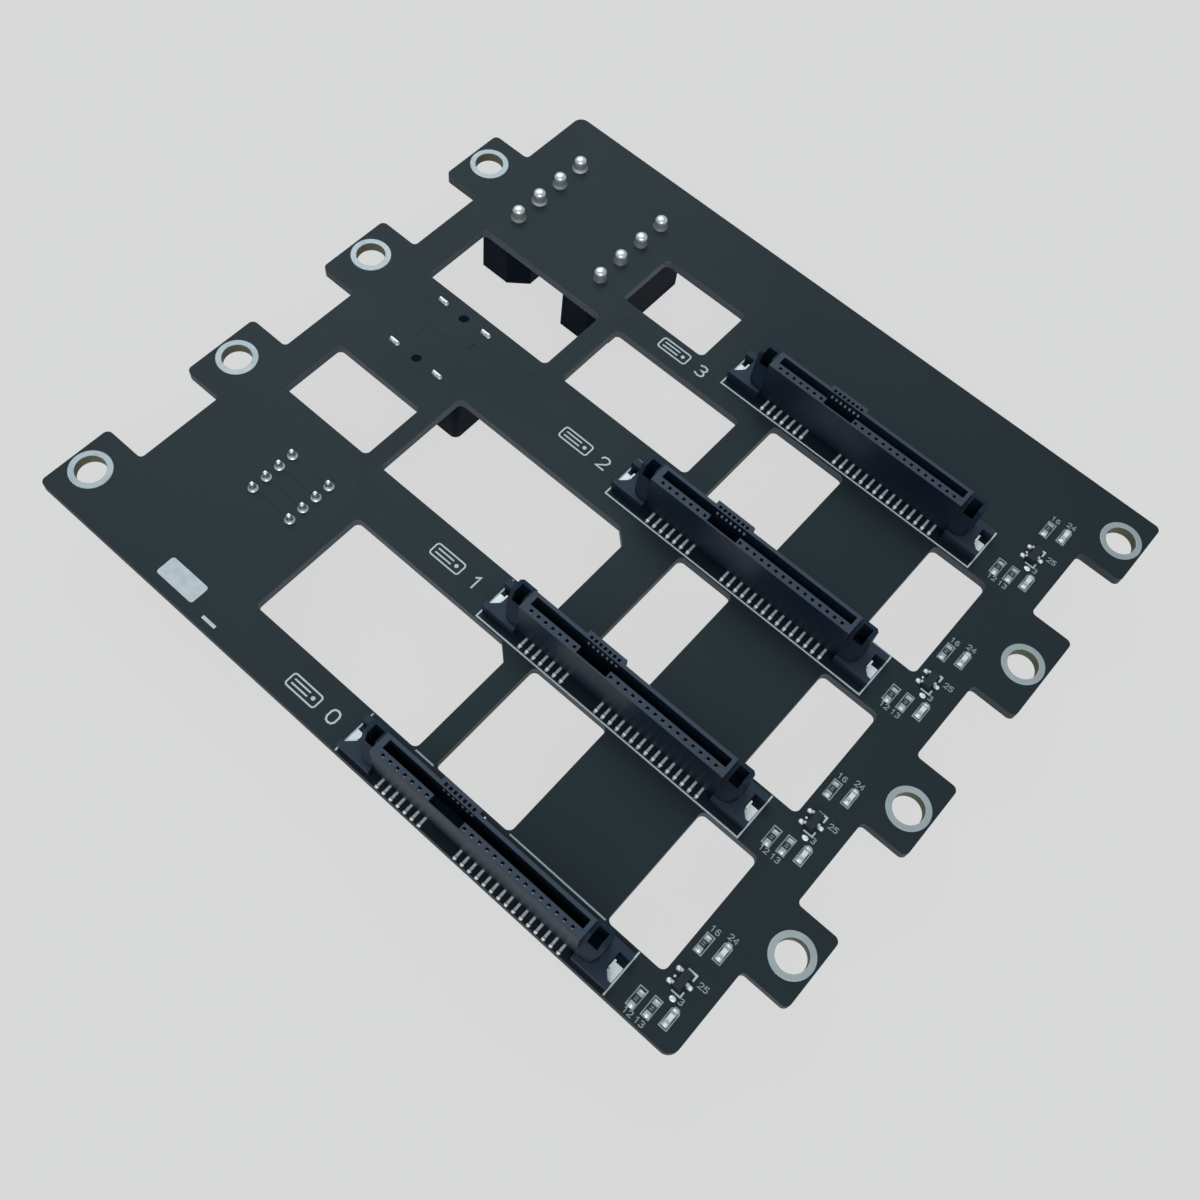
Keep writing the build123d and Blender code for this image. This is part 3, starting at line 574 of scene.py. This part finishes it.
# Bay marks: a plain drive sign and the number of the bay
bayMark = {"signStartMm": -14.6, "signLengthMm": 5.4, "heightMm": 2.05, "radiusMm": 0.4, "barsMm": (0.68, 1.38),
           "barInsetMm": (0.7, 1.9), "dotInsetMm": 1.0, "dotRadiusMm": 0.32, "numberStartMm": -7.1,
           "baseMm": (1.9, 1.9, 1.9, -2.3)}
pot = MeshPot()
for bay, y in enumerate(tailY):
    base, height = y + bayMark["baseMm"][bay], bayMark["heightMm"]
    x0, x1 = bayMark["signStartMm"], bayMark["signStartMm"] + bayMark["signLengthMm"]
    printOutline(pot, roundedBox(x0, base, x1, base + height, bayMark["radiusMm"], 3))
    for bar in bayMark["barsMm"]:
        ends = [(x0 + bayMark["barInsetMm"][0], base + bar), (x1 - bayMark["barInsetMm"][1], base + bar)]
        pot.ribbon(ends, ink["lineMm"], 0.0, ink["riseMm"])
    dot = [(bayMark["dotRadiusMm"], 0.0), (bayMark["dotRadiusMm"], ink["riseMm"]), (0.0, ink["riseMm"])]
    pot.lathe((x1 - bayMark["dotInsetMm"], base + height / 2, 0.0), dot, 12)
    printNumber(pot, str(bay), bayMark["numberStartMm"], base, height, ink["heavyMm"])
pot.make("bayMarkPrint", finish["boardInk"], "lamp_body")

# Plain pale marking field and short bar near the front left corner
markingField = {"boxMm": (-39.6, -52.5, -32.4, -49.3), "radiusMm": 0.45,
                "barMm": (-29.85, -53.0, -27.3, -52.5), "barRadiusMm": 0.08}
pot = MeshPot()
pot.outlinePlate(roundedBox(*markingField["boxMm"], markingField["radiusMm"]), 0.0, ink["riseMm"])
pot.outlinePlate(roundedBox(*markingField["barMm"], markingField["barRadiusMm"], 2), 0.0, ink["riseMm"])
pot.make("markingFieldPrint", finish["boardInk"], "lamp_body")
print("printing made")

# Where the sockets under the board stand, by their pins and legs
powerPins = {"xMm": (-47.425, -29.695), "middleYMm": 37.59, "pitchMm": 5.08, "count": 4}
fanPins = {"xMm": (-40.015, -32.455), "middleYMm": -30.5, "pitchMm": 2.54, "count": 4}
portLegs = {"xMm": -39.55, "yMm": 3.6, "legXMm": 4.5, "legYMm": 5.4, "halfMm": (0.98, 0.38), "roundMm": 0.3724,
            "padRiseMm": 0.025, "beadsMm": ((-0.40, 1.0), (0.42, 0.86)), "beadHalfMm": (0.54, 0.36),
            "beadHeightMm": 0.36}


def pinLevels(pins):
    return [pins["middleYMm"] + pins["pitchMm"] * (k - (pins["count"] - 1) / 2) for k in range(pins["count"])]


# Narrow clearances round the buried traces, seen as faint darker lines
traces = {
    "widthMm": 0.16, "riseMm": 0.006, "pitchMm": 0.62, "bendMm": 1.6, "bendShare": 0.45, "bendSteps": 5,
    "fanLinksMm": (-38.9, -33.5), "fanLinkWidthMm": 0.22,
    "bundlesMm": (
        (4, ((-35.0, 2.6), (-31.2, 2.6), (-21.5, 3.2), (-15.0, 3.9), (-3.6, 3.9))),
        (4, ((-35.2, 5.8), (-31.5, 6.8), (-24.9, 7.0), (-22.9, 8.6), (-22.9, 24.2), (-20.6, 26.6), (-3.6, 26.6))),
        (4, ((-35.0, 0.6), (-32.6, 0.4), (-31.1, -1.6), (-31.1, -21.2), (-28.6, -23.3), (-3.6, -23.3)))),
    "portFansMm": ((-42.8, 2.4), (-42.8, 3.5), (-41.2, 4.2), (-39.7, 4.7), (-38.0, 5.2), (-35.4, 5.8)),
    "portFanPathMm": ((0.0, -1.0), (0.4, -0.2), (0.4, 0.5)), "portFanWidthMm": 0.2}


def bendPath(points):
    # Straight runs joined by short even curves
    path = [points[0]]
    for before, here, after in zip(points[:-2], points[1:-1], points[2:]):
        a, b, c = Vector(before), Vector(here), Vector(after)
        reach = min(traces["bendMm"], *((q - p).length * traces["bendShare"] for p, q in ((a, b), (b, c))))
        start, end = b + (a - b).normalized() * reach, b + (c - b).normalized() * reach
        for k in range(traces["bendSteps"] + 1):
            t = k / traces["bendSteps"]
            path.append(tuple(start * (1 - t) ** 2 + b * 2 * t * (1 - t) + end * t * t))
    path.append(points[-1])
    return path


def pathBeside(points, offset):
    # The same path moved sideways by offset
    moved = []
    for i, point in enumerate(points):
        way = (Vector(points[min(i + 1, len(points) - 1)]) - Vector(points[max(i - 1, 0)])).normalized()
        moved.append((point[0] - way.y * offset, point[1] + way.x * offset))
    return moved


pot = MeshPot()
for count, route in traces["bundlesMm"]:
    path = bendPath(route)
    for k in range(count):
        beside = pathBeside(path, (k - (count - 1) / 2) * traces["pitchMm"])
        pot.ribbon(beside, traces["widthMm"], 0.0, traces["riseMm"])
for y in pinLevels(fanPins):
    pot.ribbon([(x, y) for x in traces["fanLinksMm"]], traces["fanLinkWidthMm"], 0.0, traces["riseMm"])
for x, y in traces["portFansMm"]:
    path = [(x + dx, y + dy) for dx, dy in traces["portFanPathMm"]]
    pot.ribbon(path, traces["portFanWidthMm"], 0.0, traces["riseMm"])
pot.make("traceGaps", finish["traceShade"], "solder_mask")
print("traces made")

# Solder beads, shared by several pieces: (radius, height) from the foot to the top
beadShape = [(1.0, 0.0), (0.97, 0.25), (0.86, 0.55), (0.66, 0.80), (0.36, 0.96), (0.0, 1.0)]
beadLiftMm = 0.02


def addBead(pot, x, y, half, height, segments, lift=beadLiftMm):
    pot.lathe((x, y, 0.0), [(r, lift + h * height) for r, h in beadShape], segments, 0.0, half)


# Solder at the toes of the drive connector contacts. The first bay's pads end at the board's edge
tailSolder = {"padHalfMm": 0.2, "padRiseMm": 0.015, "padRadiusMm": 0.06, "padFrontMm": -0.50, "padRearMm": 0.75,
              "edgeFrontMm": -0.28, "beadHalfMm": (0.31, 0.31), "beadHeightMm": 0.38, "beadYMm": -0.02,
              "edgeBeadYMm": -0.01, "edgeBeadHalfMm": 0.26, "swell": (0.92, 1.08), "pitchMm": 1.27,
              "rowsMm": ((-15.875, 7), (-1.905, 15)), "secondRowMm": (-7.45, 7, 0.8), "secondToeMm": 6.3,
              "secondHalfMm": (0.24, 0.30), "secondHeightMm": 0.26}
pot, padPot = MeshPot(), MeshPot()
for bay, y in enumerate(tailY):
    front = y + tailSolder["padFrontMm" if bay else "edgeFrontMm"]
    beadY = y + tailSolder["beadYMm" if bay else "edgeBeadYMm"]
    for first, count in tailSolder["rowsMm"]:
        for k in range(count):
            x = connectorX + first + tailSolder["pitchMm"] * k
            swell = random.uniform(*tailSolder["swell"])
            halfX, halfY = tailSolder["beadHalfMm"]
            halfY = halfY * swell if bay else tailSolder["edgeBeadHalfMm"]
            addBead(pot, x, beadY, (halfX, halfY), tailSolder["beadHeightMm"] * swell, 14, 0.0)
            half, radius = tailSolder["padHalfMm"], tailSolder["padRadiusMm"]
            pad = roundedBox(x - half, front, x + half, y + tailSolder["padRearMm"], radius, 2)
            padPot.outlinePlate(pad, 0.0, tailSolder["padRiseMm"])
    first, count, pitch = tailSolder["secondRowMm"]
    for k in range(count):
        addBead(pot, connectorX + first + pitch * k, y + tailSolder["secondToeMm"], tailSolder["secondHalfMm"],
                tailSolder["secondHeightMm"], 12, 0.0)
pot.make("tailSolder", finish["solderJoint"], "tin_plate", True)
padPot.make("tailPads", finish["tinPlate"], "tin_plate")

# Power header pins: turned, rounded at both ends, with solder drawn over them on the drive side
turnedPin = {"radiusMm": 1.05, "tailRadiusMm": 0.85, "lowMm": -10.5, "shoulderMm": -3.8, "topMm": 1.9,
             "noseMm": ((0.0, 0.0), (0.45, 0.03), (0.74, 0.18), (0.94, 0.45), (1.05, 0.85)),
             "domeMm": 0.62, "domeShares": (0.42, 0.58), "domeTurns": (0.3, 0.6, 0.9, 1.2, 1.45)}
pinSolder = {"footMm": (1.28, 1.14), "crownMm": (2.2, 2.0), "leanTo": 6.28, "footSpread": (0.94, 1.06), "squash": 0.03,
             "foot": ((1.0, 0.0), (1.0, 0.05), (0.97, 0.16)), "wallMm": [(1.09, 0.42), (1.05, 0.66), (1.03, 0.9)],
             "domeMm": ((1.03, 0.62), (0.99, 0.46), (0.91, 0.31), (0.77, 0.18), (0.56, 0.07), (0.30, 0.02), (0.0, 0.0))}
big, small, shoulder = turnedPin["radiusMm"], turnedPin["tailRadiusMm"], turnedPin["shoulderMm"]
top, dome, (core, bulge) = turnedPin["topMm"], turnedPin["domeMm"], turnedPin["domeShares"]
profile = [(radius, turnedPin["lowMm"] + rise) for radius, rise in turnedPin["noseMm"]]
profile += [(big, shoulder), (small, shoulder), (small, top - dome)]
for a in turnedPin["domeTurns"]:
    profile.append((small * (core + bulge * math.cos(a)), top - dome + dome * math.sin(a)))
profile.append((0.0, top))
coatPot = MeshPot()
for letter, x, widest, crown in zip("ab", powerPins["xMm"], pinSolder["footMm"], pinSolder["crownMm"]):
    pot = MeshPot()
    for y in pinLevels(powerPins):
        pot.lathe((x, y, 0.0), profile, 32)
        lean = random.uniform(0.0, pinSolder["leanTo"])
        foot = widest * random.uniform(*pinSolder["footSpread"])
        coat = [(foot * share, height) for share, height in pinSolder["foot"]] + pinSolder["wallMm"]
        coat += [(radius, crown - drop) for radius, drop in pinSolder["domeMm"]]
        squash = 1.0 + random.uniform(-pinSolder["squash"], pinSolder["squash"])
        coatPot.lathe((x, y, 0.0), coat, 36, lean, (squash, 1.0))
    pins = pot.make("turnedPins_" + letter, finish["contactMetal"], "contact_metal", True)
    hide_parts("power_pins_" + letter)
coatPot.make("powerPinSolder", finish["pinCoat"], "tin_plate", True)

# Solder round the foot of the square fan pins and drawn over their ends
fanSolder = {
    "coneMm": ((0.78, 0.0), (0.78, 0.025), (0.72, 0.05), (0.66, 0.12), (0.58, 0.20), (0.52, 0.29), (0.48, 0.38),
               (0.44, 0.44)),
    "coatMm": ((0.468, 0.2), (0.465, 1.12), (0.42, 1.26), (0.32, 1.35), (0.18, 1.39), (0.0, 1.4))}
pot = MeshPot()
for x in fanPins["xMm"]:
    for y in pinLevels(fanPins):
        pot.lathe((x, y, 0.0), fanSolder["coneMm"], 28, random.uniform(0, 1))
        pot.lathe((x, y, 0.0), fanSolder["coatMm"], 4, math.pi / 4)
pot.make("fanPinSolder", finish["pinCoat"], "tin_plate", True)

# Solder over the four legs of the data port
pot = MeshPot()
for sideX in (-1, 1):
    for sideY in (-1, 1):
        x, y = portLegs["xMm"] + sideX * portLegs["legXMm"], portLegs["yMm"] + sideY * portLegs["legYMm"]
        pot.outlinePlate(roundedPad(x, y, *portLegs["halfMm"], portLegs["roundMm"], 6), 0.0, portLegs["padRiseMm"])
        for shift, size in portLegs["beadsMm"]:
            half = [side * size for side in portLegs["beadHalfMm"]]
            addBead(pot, x + shift, y, half, portLegs["beadHeightMm"] * size, 18)
pot.make("portLegSolder", finish["pinCoat"], "tin_plate", True)
print("solder made")

# Tinned rings round the fixing holes on both faces, and the bare walls of the holes
fixingRings = {"columnsMm": ((-58.68, (-48.05, -20.5, 7.55, 35.0)), (58.68, (-34.35, -8.35, 20.4, 48.0))),
               "sectionMm": ((3.2, 0.0), (3.2, 0.03), (3.15, 0.05), (2.36, 0.05), (2.3, 0.03), (2.3, 0.0)),
               "wallMm": ((2.288, 1.59), (2.288, 0.01)), "segments": 72}
ringPot, underPot, sleevePot = MeshPot(), MeshPot(), MeshPot()
underSection = [(radius, -height) for radius, height in fixingRings["sectionMm"]]
for x, levels in fixingRings["columnsMm"]:
    for y in levels:
        ringPot.ringBand((x, y, 0.0), fixingRings["sectionMm"], fixingRings["segments"])
        underPot.ringBand((x, y, undersideZ), underSection, fixingRings["segments"])
        sleevePot.ringBand((x, y, undersideZ), fixingRings["wallMm"], fixingRings["segments"])
rings = ringPot.make("fixingRings", finish["tinPlate"], "tin_plate")
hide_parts("mounting_rings")
underPot.make("fixingRingsUnder", finish["tinPlate"], "tin_plate")
sleevePot.make("fixingHoleWalls", finish["bareLaminate"], "solder_mask", True)
print("rings made")

# Small parts beside each bay: outlines, end caps, lenses, pads and plain numbers
chips = {
    "halfMm": (0.4, 0.8), "resistorsMm": ((47.325, 2.2), (49.525, 2.6), (49.325, 13.0)), "resistorTopMm": 0.5,
    "markHalfMm": 0.2, "markShiftMm": 0.16, "markLineMm": 0.11, "markRiseMm": 0.006,
    "lampsMm": ((51.925, 3.3), (51.925, 13.9)), "lampBaseMm": 0.28, "lensHalfMm": 0.52, "lensRadiusMm": 0.10,
    "lensScale": (1.0, 0.97, 0.90, 0.80), "lensLevelsMm": (0.28, 0.50, 0.62, 0.70),
    "resistorCap": {"lengthMm": 0.30, "lapMm": 0.02, "climb": 0.8},
    "lampCap": {"lengthMm": 0.24, "lapMm": 0.015, "climb": 0.9},
    "filletMm": ((0.0, 1.0, 0.0), (0.08, 0.55, 0.0), (0.2, 0.26, 0.0), (0.36, 0.0, 0.10), (0.46, 0.0, 0.03)),
    "padHalfMm": (0.46, 0.42), "padOutMm": 0.12, "padRadiusMm": 0.08, "padRiseMm": 0.02, "padKeepMm": 0.05,
    "capBreakMm": 0.035, "testPadMm": (50.68, 5.27), "testPadHalfMm": (0.50, 0.40), "testPadHeightMm": 0.16,
    "viaMm": (49.17, 7.59), "viaHalfMm": (0.19, 0.19)}
chipPrint = {
    "halfMm": (0.60, 1.45), "resistorsMm": ((47.28, 2.45), (49.47, 2.7), (49.40, 13.1)),
    "lampsMm": ((51.95, 3.22), (51.92, 13.8)), "lampShoulderMm": 0.35, "lampPeakMm": 0.08, "lampPeakShare": 0.45,
    "frontKeepMm": 0.2, "numberMm": 0.78, "numberLineMm": 0.14, "numberKeepMm": 0.15,
    "numbers": (("16", 48.8, 15.0), ("24", 51.2, 15.7), ("25", 52.1, 8.45), ("3", 51.5, 5.3), ("12", 46.9, 0.02),
                ("13", 48.75, 0.02))}
transistor = {
    "placeMm": (50.2, 7.7), "halfMm": (0.65, 1.45), "zMm": (0.1, 0.55, 0.65, 1.04, 1.1), "radiusMm": 0.05,
    "insetMm": (0.07, 0.0, 0.0, 0.06, 0.10), "padsMm": ((-1.2, 0.97), (-1.2, -0.97), (1.24, 0.0)),
    "padHalfMm": (0.36, 0.34), "padRadiusMm": 0.1, "beadHalfMm": (0.38, 0.35), "beadHeightMm": 0.24,
    "beadOutMm": 0.06,
    "bracketsMm": ((((-0.25, 1.74), (1.05, 1.74), (1.05, 0.95)), ink["heavyMm"]),
                   (((-0.23, -1.70), (1.08, -1.70), (1.08, -1.0)), ink["lineMm"]))}
viaDish = [(1.0, 0.0), (0.95, 0.04), (0.6, 0.05), (0.0, 0.03)]
outlinePot, bracketPot, capPot, padPot, dashPot, blobPot = (MeshPot() for _ in range(6))
halfW, halfL = chips["halfMm"]


def endFillet(x, y, way, height):
    # Solder that climbs the end of a chip from its pad: how far out, share of the height, and more height
    verts, faces = [], []
    for k, (out, share, more) in enumerate(chips["filletMm"]):
        spread = halfW * (0.98 + 0.10 * k / 4)
        levels = (height * share + more, chips["padRiseMm"])
        verts += [(x + side * spread, y + way * out, z) for z in levels for side in (-1, 1)]
    for a in range(0, len(verts) - 4, 4):
        b = a + 4
        quads = [(a, a + 1, b + 1, b), (a + 2, a, b, b + 2), (a + 1, a + 3, b + 3, b + 1)]
        faces += [q[::-1] for q in quads] if way > 0 else quads
    blobPot.add(verts, faces)


def endCaps(x, y, top, cap):
    # Plated ends of one chip, each with its solder
    lap = cap["lapMm"]
    for way in (-1, 1):
        end = y + way * halfL
        reach = (end + way * lap, end - way * cap["lengthMm"])
        capPot.brick((x - halfW - lap, min(reach), 0.0), (x + halfW + lap, max(reach), top + lap))
        endFillet(x, end + way * lap, way, top * cap["climb"])


for bay, y in enumerate(tailY):
    halfX, halfY = chipPrint["halfMm"]
    for x, v in chipPrint["resistorsMm"]:
        front = max(y + v - halfY, frontLimit(chipPrint["frontKeepMm"]))
        printOutline(outlinePot, boxOf(x - halfX, front, x + halfX, y + v + halfY), ink["fineMm"])
    for x, v in chips["resistorsMm"]:
        for shift in (-chips["markShiftMm"], chips["markShiftMm"]):
            ends = [(x + side * chips["markHalfMm"], y + v + shift) for side in (-1, 1)]
            dashPot.plainStroke(*ends, chips["markLineMm"], chips["markRiseMm"], chips["resistorTopMm"])
        endCaps(x, y + v, chips["resistorTopMm"], chips["resistorCap"])
    for x, v in chipPrint["lampsMm"]:
        front, rear = y + v - halfY, y + v + halfY
        shoulder, peak = rear - chipPrint["lampShoulderMm"], rear + chipPrint["lampPeakMm"]
        tip = halfX * chipPrint["lampPeakShare"]
        corners = [(x - halfX, front), (x + halfX, front), (x + halfX, shoulder), (x + tip, peak), (x - tip, peak),
                   (x - halfX, shoulder)]
        printOutline(outlinePot, corners, ink["fineMm"])
    lampPot, lensPot = MeshPot(), MeshPot()
    base, lensL = chips["lampBaseMm"], chips["lensHalfMm"]
    for x, v in chips["lampsMm"]:
        cy = y + v
        lampPot.brick((x - halfW, cy - halfL, 0.0), (x + halfW, cy + halfL, base))
        # Lens block, drawn in towards its top
        lens = [roundedPad(x, cy, halfW * k, lensL * k, chips["lensRadiusMm"], 3) for k in chips["lensScale"]]
        lensPot.stack(lens, chips["lensLevelsMm"])
        endCaps(x, cy, base, chips["lampCap"])
    lampPot.add(lensPot.verts, lensPot.faces)
    lamp = lampPot.make("statusLampBodies_" + str(bay), finish["lampBody"], "lamp_body")
    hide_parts("status_lamps_" + str(bay))
    padX, padY = chips["padHalfMm"]
    for x, v in chips["resistorsMm"] + chips["lampsMm"]:
        for side in (-1, 1):
            cy = y + v + side * (halfL + chips["padOutMm"])
            front = max(cy - padY, frontLimit(chips["padKeepMm"]))
            pad = roundedBox(x - padX, front, x + padX, cy + padY, chips["padRadiusMm"], 2)
            padPot.outlinePlate(pad, 0.0, chips["padRiseMm"])
    tx, ty = transistor["placeMm"][0], y + transistor["placeMm"][1]
    bodyPot = MeshPot()
    outlines = []
    for inset in transistor["insetMm"]:
        half = [side - inset for side in transistor["halfMm"]]
        outlines.append(roundedPad(tx, ty, *half, transistor["radiusMm"], 2))
    bodyPot.stack(outlines, transistor["zMm"])
    body = bodyPot.make("transistorShell_" + str(bay), finish["transistorPlastic"], "transistor_plastic")
    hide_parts("transistor_body_" + str(bay))
    for dx, dy in transistor["padsMm"]:
        px, py = tx + dx, ty + dy
        pad = roundedPad(px, py, *transistor["padHalfMm"], transistor["padRadiusMm"], 2)
        padPot.outlinePlate(pad, 0.0, chips["padRiseMm"])
        addBead(blobPot, px + math.copysign(transistor["beadOutMm"], dx), py, transistor["beadHalfMm"],
                transistor["beadHeightMm"], 18)
    for corners, line in transistor["bracketsMm"]:
        bracketPot.ribbon([(tx + dx, ty + dy) for dx, dy in corners], line, 0.0, ink["riseMm"])
    px, pv = chips["testPadMm"]
    addBead(blobPot, px, y + pv, chips["testPadHalfMm"], chips["testPadHeightMm"], 16)
    px, pv = chips["viaMm"]
    blobPot.lathe((px, y + pv, 0.0), viaDish, 12, 0.0, chips["viaHalfMm"])
    for text, x, v in chipPrint["numbers"]:
        base = max(y + v, frontLimit(chipPrint["numberKeepMm"]))
        printNumber(outlinePot, text, x, base, chipPrint["numberMm"], chipPrint["numberLineMm"])
outlinePot.make("smallPartPrint", finish["partInk"], "lamp_body")
bracketPot.make("transistorBrackets", finish["boardInk"], "lamp_body")
dashPot.make("resistorMarks", finish["partInk"], "lamp_body")
padPot.make("smallPartPads", finish["tinPlate"], "tin_plate")
breakEdges(capPot.make("chipEndCaps", finish["tinPlate"], "tin_plate"), chips["capBreakMm"])
blobPot.make("smallPartSolder", finish["solderJoint"], "tin_plate", True)
print("small parts dressed")

# Underside: outlines round the sockets and plain numbers beside them
underPrint = {"gapMm": 0.45, "numberMm": 1.5, "powerHalfMm": (4.25, 11.45), "powerCutMm": (3.0, 2.6),
              "powerNumberMm": ((-40.9, -35.2), -0.7), "fanHalfMm": (2.95, 5.08), "fanNumberMm": (0.5, -2.3),
              "portHalfMm": (9.15, 6.4), "portRadiusMm": 1.5}


def printedHalf(key):
    return [side + underPrint["gapMm"] for side in underPrint[key]]


pot = MeshPot()
numberXs, numberDrop = underPrint["powerNumberMm"]
halfX, halfY = printedHalf("powerHalfMm")
cutX, cutY = underPrint["powerCutMm"]
y = powerPins["middleYMm"]
for number, x, numberX in zip("12", powerPins["xMm"], numberXs):
    outline = [(x - halfX, y - halfY), (x + halfX - cutX, y - halfY), (x + halfX, y - halfY + cutY),
               (x + halfX, y + halfY - cutY), (x + halfX - cutX, y + halfY), (x - halfX, y + halfY)]
    printOutline(pot, outline, below=True)
    printNumber(pot, number, numberX, y + numberDrop, underPrint["numberMm"], ink["lineMm"], True)
halfX, halfY = printedHalf("fanHalfMm")
numberX, numberY = underPrint["fanNumberMm"]
y = fanPins["middleYMm"]
for number, x in zip("12", fanPins["xMm"]):
    printOutline(pot, boxOf(x - halfX, y - halfY, x + halfX, y + halfY), below=True)
    printNumber(pot, number, x + numberX, y - halfY + numberY, underPrint["numberMm"], ink["lineMm"], True)
halfX, halfY = printedHalf("portHalfMm")
outline = roundedPad(portLegs["xMm"], portLegs["yMm"], halfX, halfY, underPrint["portRadiusMm"], 5)
printOutline(pot, outline, below=True)
pot.make("undersidePrint", finish["boardInk"], "lamp_body")
print("underside dressed")

# Floor: plain and pale, clear from below so that the underside can be looked at
stageLook = {"floorMm": -13.05, "halfM": 3.0, "paint": 0.70, "seenPaint": 0.055, "shade": 0.694, "glow": 0.93,
             "room": (0.84, 0.94, 0.98), "roomStrength": 0.45}


def grey(tone):
    return (tone, tone, tone, 1)


half = stageLook["halfM"]
floorMesh = bpy.data.meshes.new("paleFloor")
floorMesh.from_pydata([(x, y, 0) for x, y in boxOf(-half, -half, half, half)], [], [(0, 1, 2, 3)])
paleFloor = bpy.data.objects.new("paleFloor", floorMesh)
paleFloor.location = (0, 0, stageLook["floorMm"] * mm)
bpy.context.scene.collection.objects.link(paleFloor)
floorPaint = bpy.data.materials.new("floorPaint")
floorPaint.use_nodes = True
tree = NodeTree(floorPaint.node_tree, empty=True)
paint = tree.add("BsdfDiffuse", {"Color": grey(stageLook["paint"])})["BSDF"]
seenPaint = tree.add("BsdfDiffuse", {"Color": grey(stageLook["seenPaint"])})["BSDF"]
glow = tree.add("Emission", {"Color": grey(stageLook["shade"]), "Strength": stageLook["glow"]})["Emission"]
seen = tree.add("AddShader", {0: seenPaint, 1: glow})["Shader"]
rays = tree.add("LightPath")
looked = tree.math("MAXIMUM", rays["Is Camera Ray"], rays["Is Glossy Ray"])
looked = tree.math("MAXIMUM", looked, rays["Is Transmission Ray"])
upper = tree.add("MixShader", {"Fac": looked, 1: paint, 2: seen})["Shader"]
clear = tree.add("BsdfTransparent")["BSDF"]
fromBelow = tree.add("NewGeometry")["Backfacing"]
sided = tree.add("MixShader", {"Fac": fromBelow, 1: upper, 2: clear})["Shader"]
tree.add("OutputMaterial", {"Surface": sided})
paleFloor.data.materials.append(floorPaint)

# Light: an even room and two soft boxes, from behind and from the front
world = bpy.data.worlds.new("softRoom")
bpy.context.scene.world = world
world.use_nodes = True
tree = NodeTree(world.node_tree, empty=True)
room = tree.add("Background", {"Color": rgba(stageLook["room"]), "Strength": stageLook["roomStrength"]})["Background"]
back = tree.add("Background", {"Color": grey(stageLook["shade"]), "Strength": 1.0})["Background"]
seenRay = tree.add("LightPath")["Is Camera Ray"]
choice = tree.add("MixShader", {"Fac": seenRay, 1: room, 2: back})["Shader"]
tree.add("OutputWorld", {"Surface": choice})

softBoxes = {
    "rearSoftBox": {"placeM": (-0.62, 0.48, 1.0), "sizeM": (0.9, 0.8), "watts": 5.2, "tint": (0.86, 0.96, 0.99)},
    "frontSoftBox": {"placeM": (0.55, -0.75, 1.0), "sizeM": (1.0, 1.0), "watts": 8.4, "tint": (0.89, 0.97, 0.99)}}
for name, look in softBoxes.items():
    light = bpy.data.lights.new(name, "AREA")
    light.shape = "RECTANGLE"
    light.size, light.size_y = look["sizeM"]
    light.energy = look["watts"]
    light.color = look["tint"]
    lamp = bpy.data.objects.new(name, light)
    lamp.location = look["placeM"]
    lamp.rotation_euler = (-Vector(look["placeM"])).to_track_quat("-Z", "Y").to_euler()
    bpy.context.scene.collection.objects.link(lamp)

# Camera at the photograph's place
view = {"sensorMm": 36.0, "lensMm": 39.379, "clipM": (0.005, 20.0), "placeMm": (51.239, -84.090, 165.857),
        "right": (0.751266, 0.654673, 0.083683), "down": (0.617674, -0.652740, -0.438645),
        "ahead": (-0.232545, 0.381228, -0.894756)}
camera = bpy.data.cameras.new("photoCamera")
camera.sensor_width = view["sensorMm"]
camera.lens = view["lensMm"]
camera.clip_start, camera.clip_end = view["clipM"]
photoCamera = bpy.data.objects.new("photoCamera", camera)
right, down, ahead = (Vector(view[key]) for key in ("right", "down", "ahead"))
turn = Matrix((right, -down, -ahead)).transposed().to_4x4()
photoCamera.matrix_world = Matrix.Translation(Vector(view["placeMm"]) * mm) @ turn
bpy.context.scene.collection.objects.link(photoCamera)
bpy.context.scene.camera = photoCamera
bpy.context.scene.view_settings.view_transform = "Standard"
print("stage made")
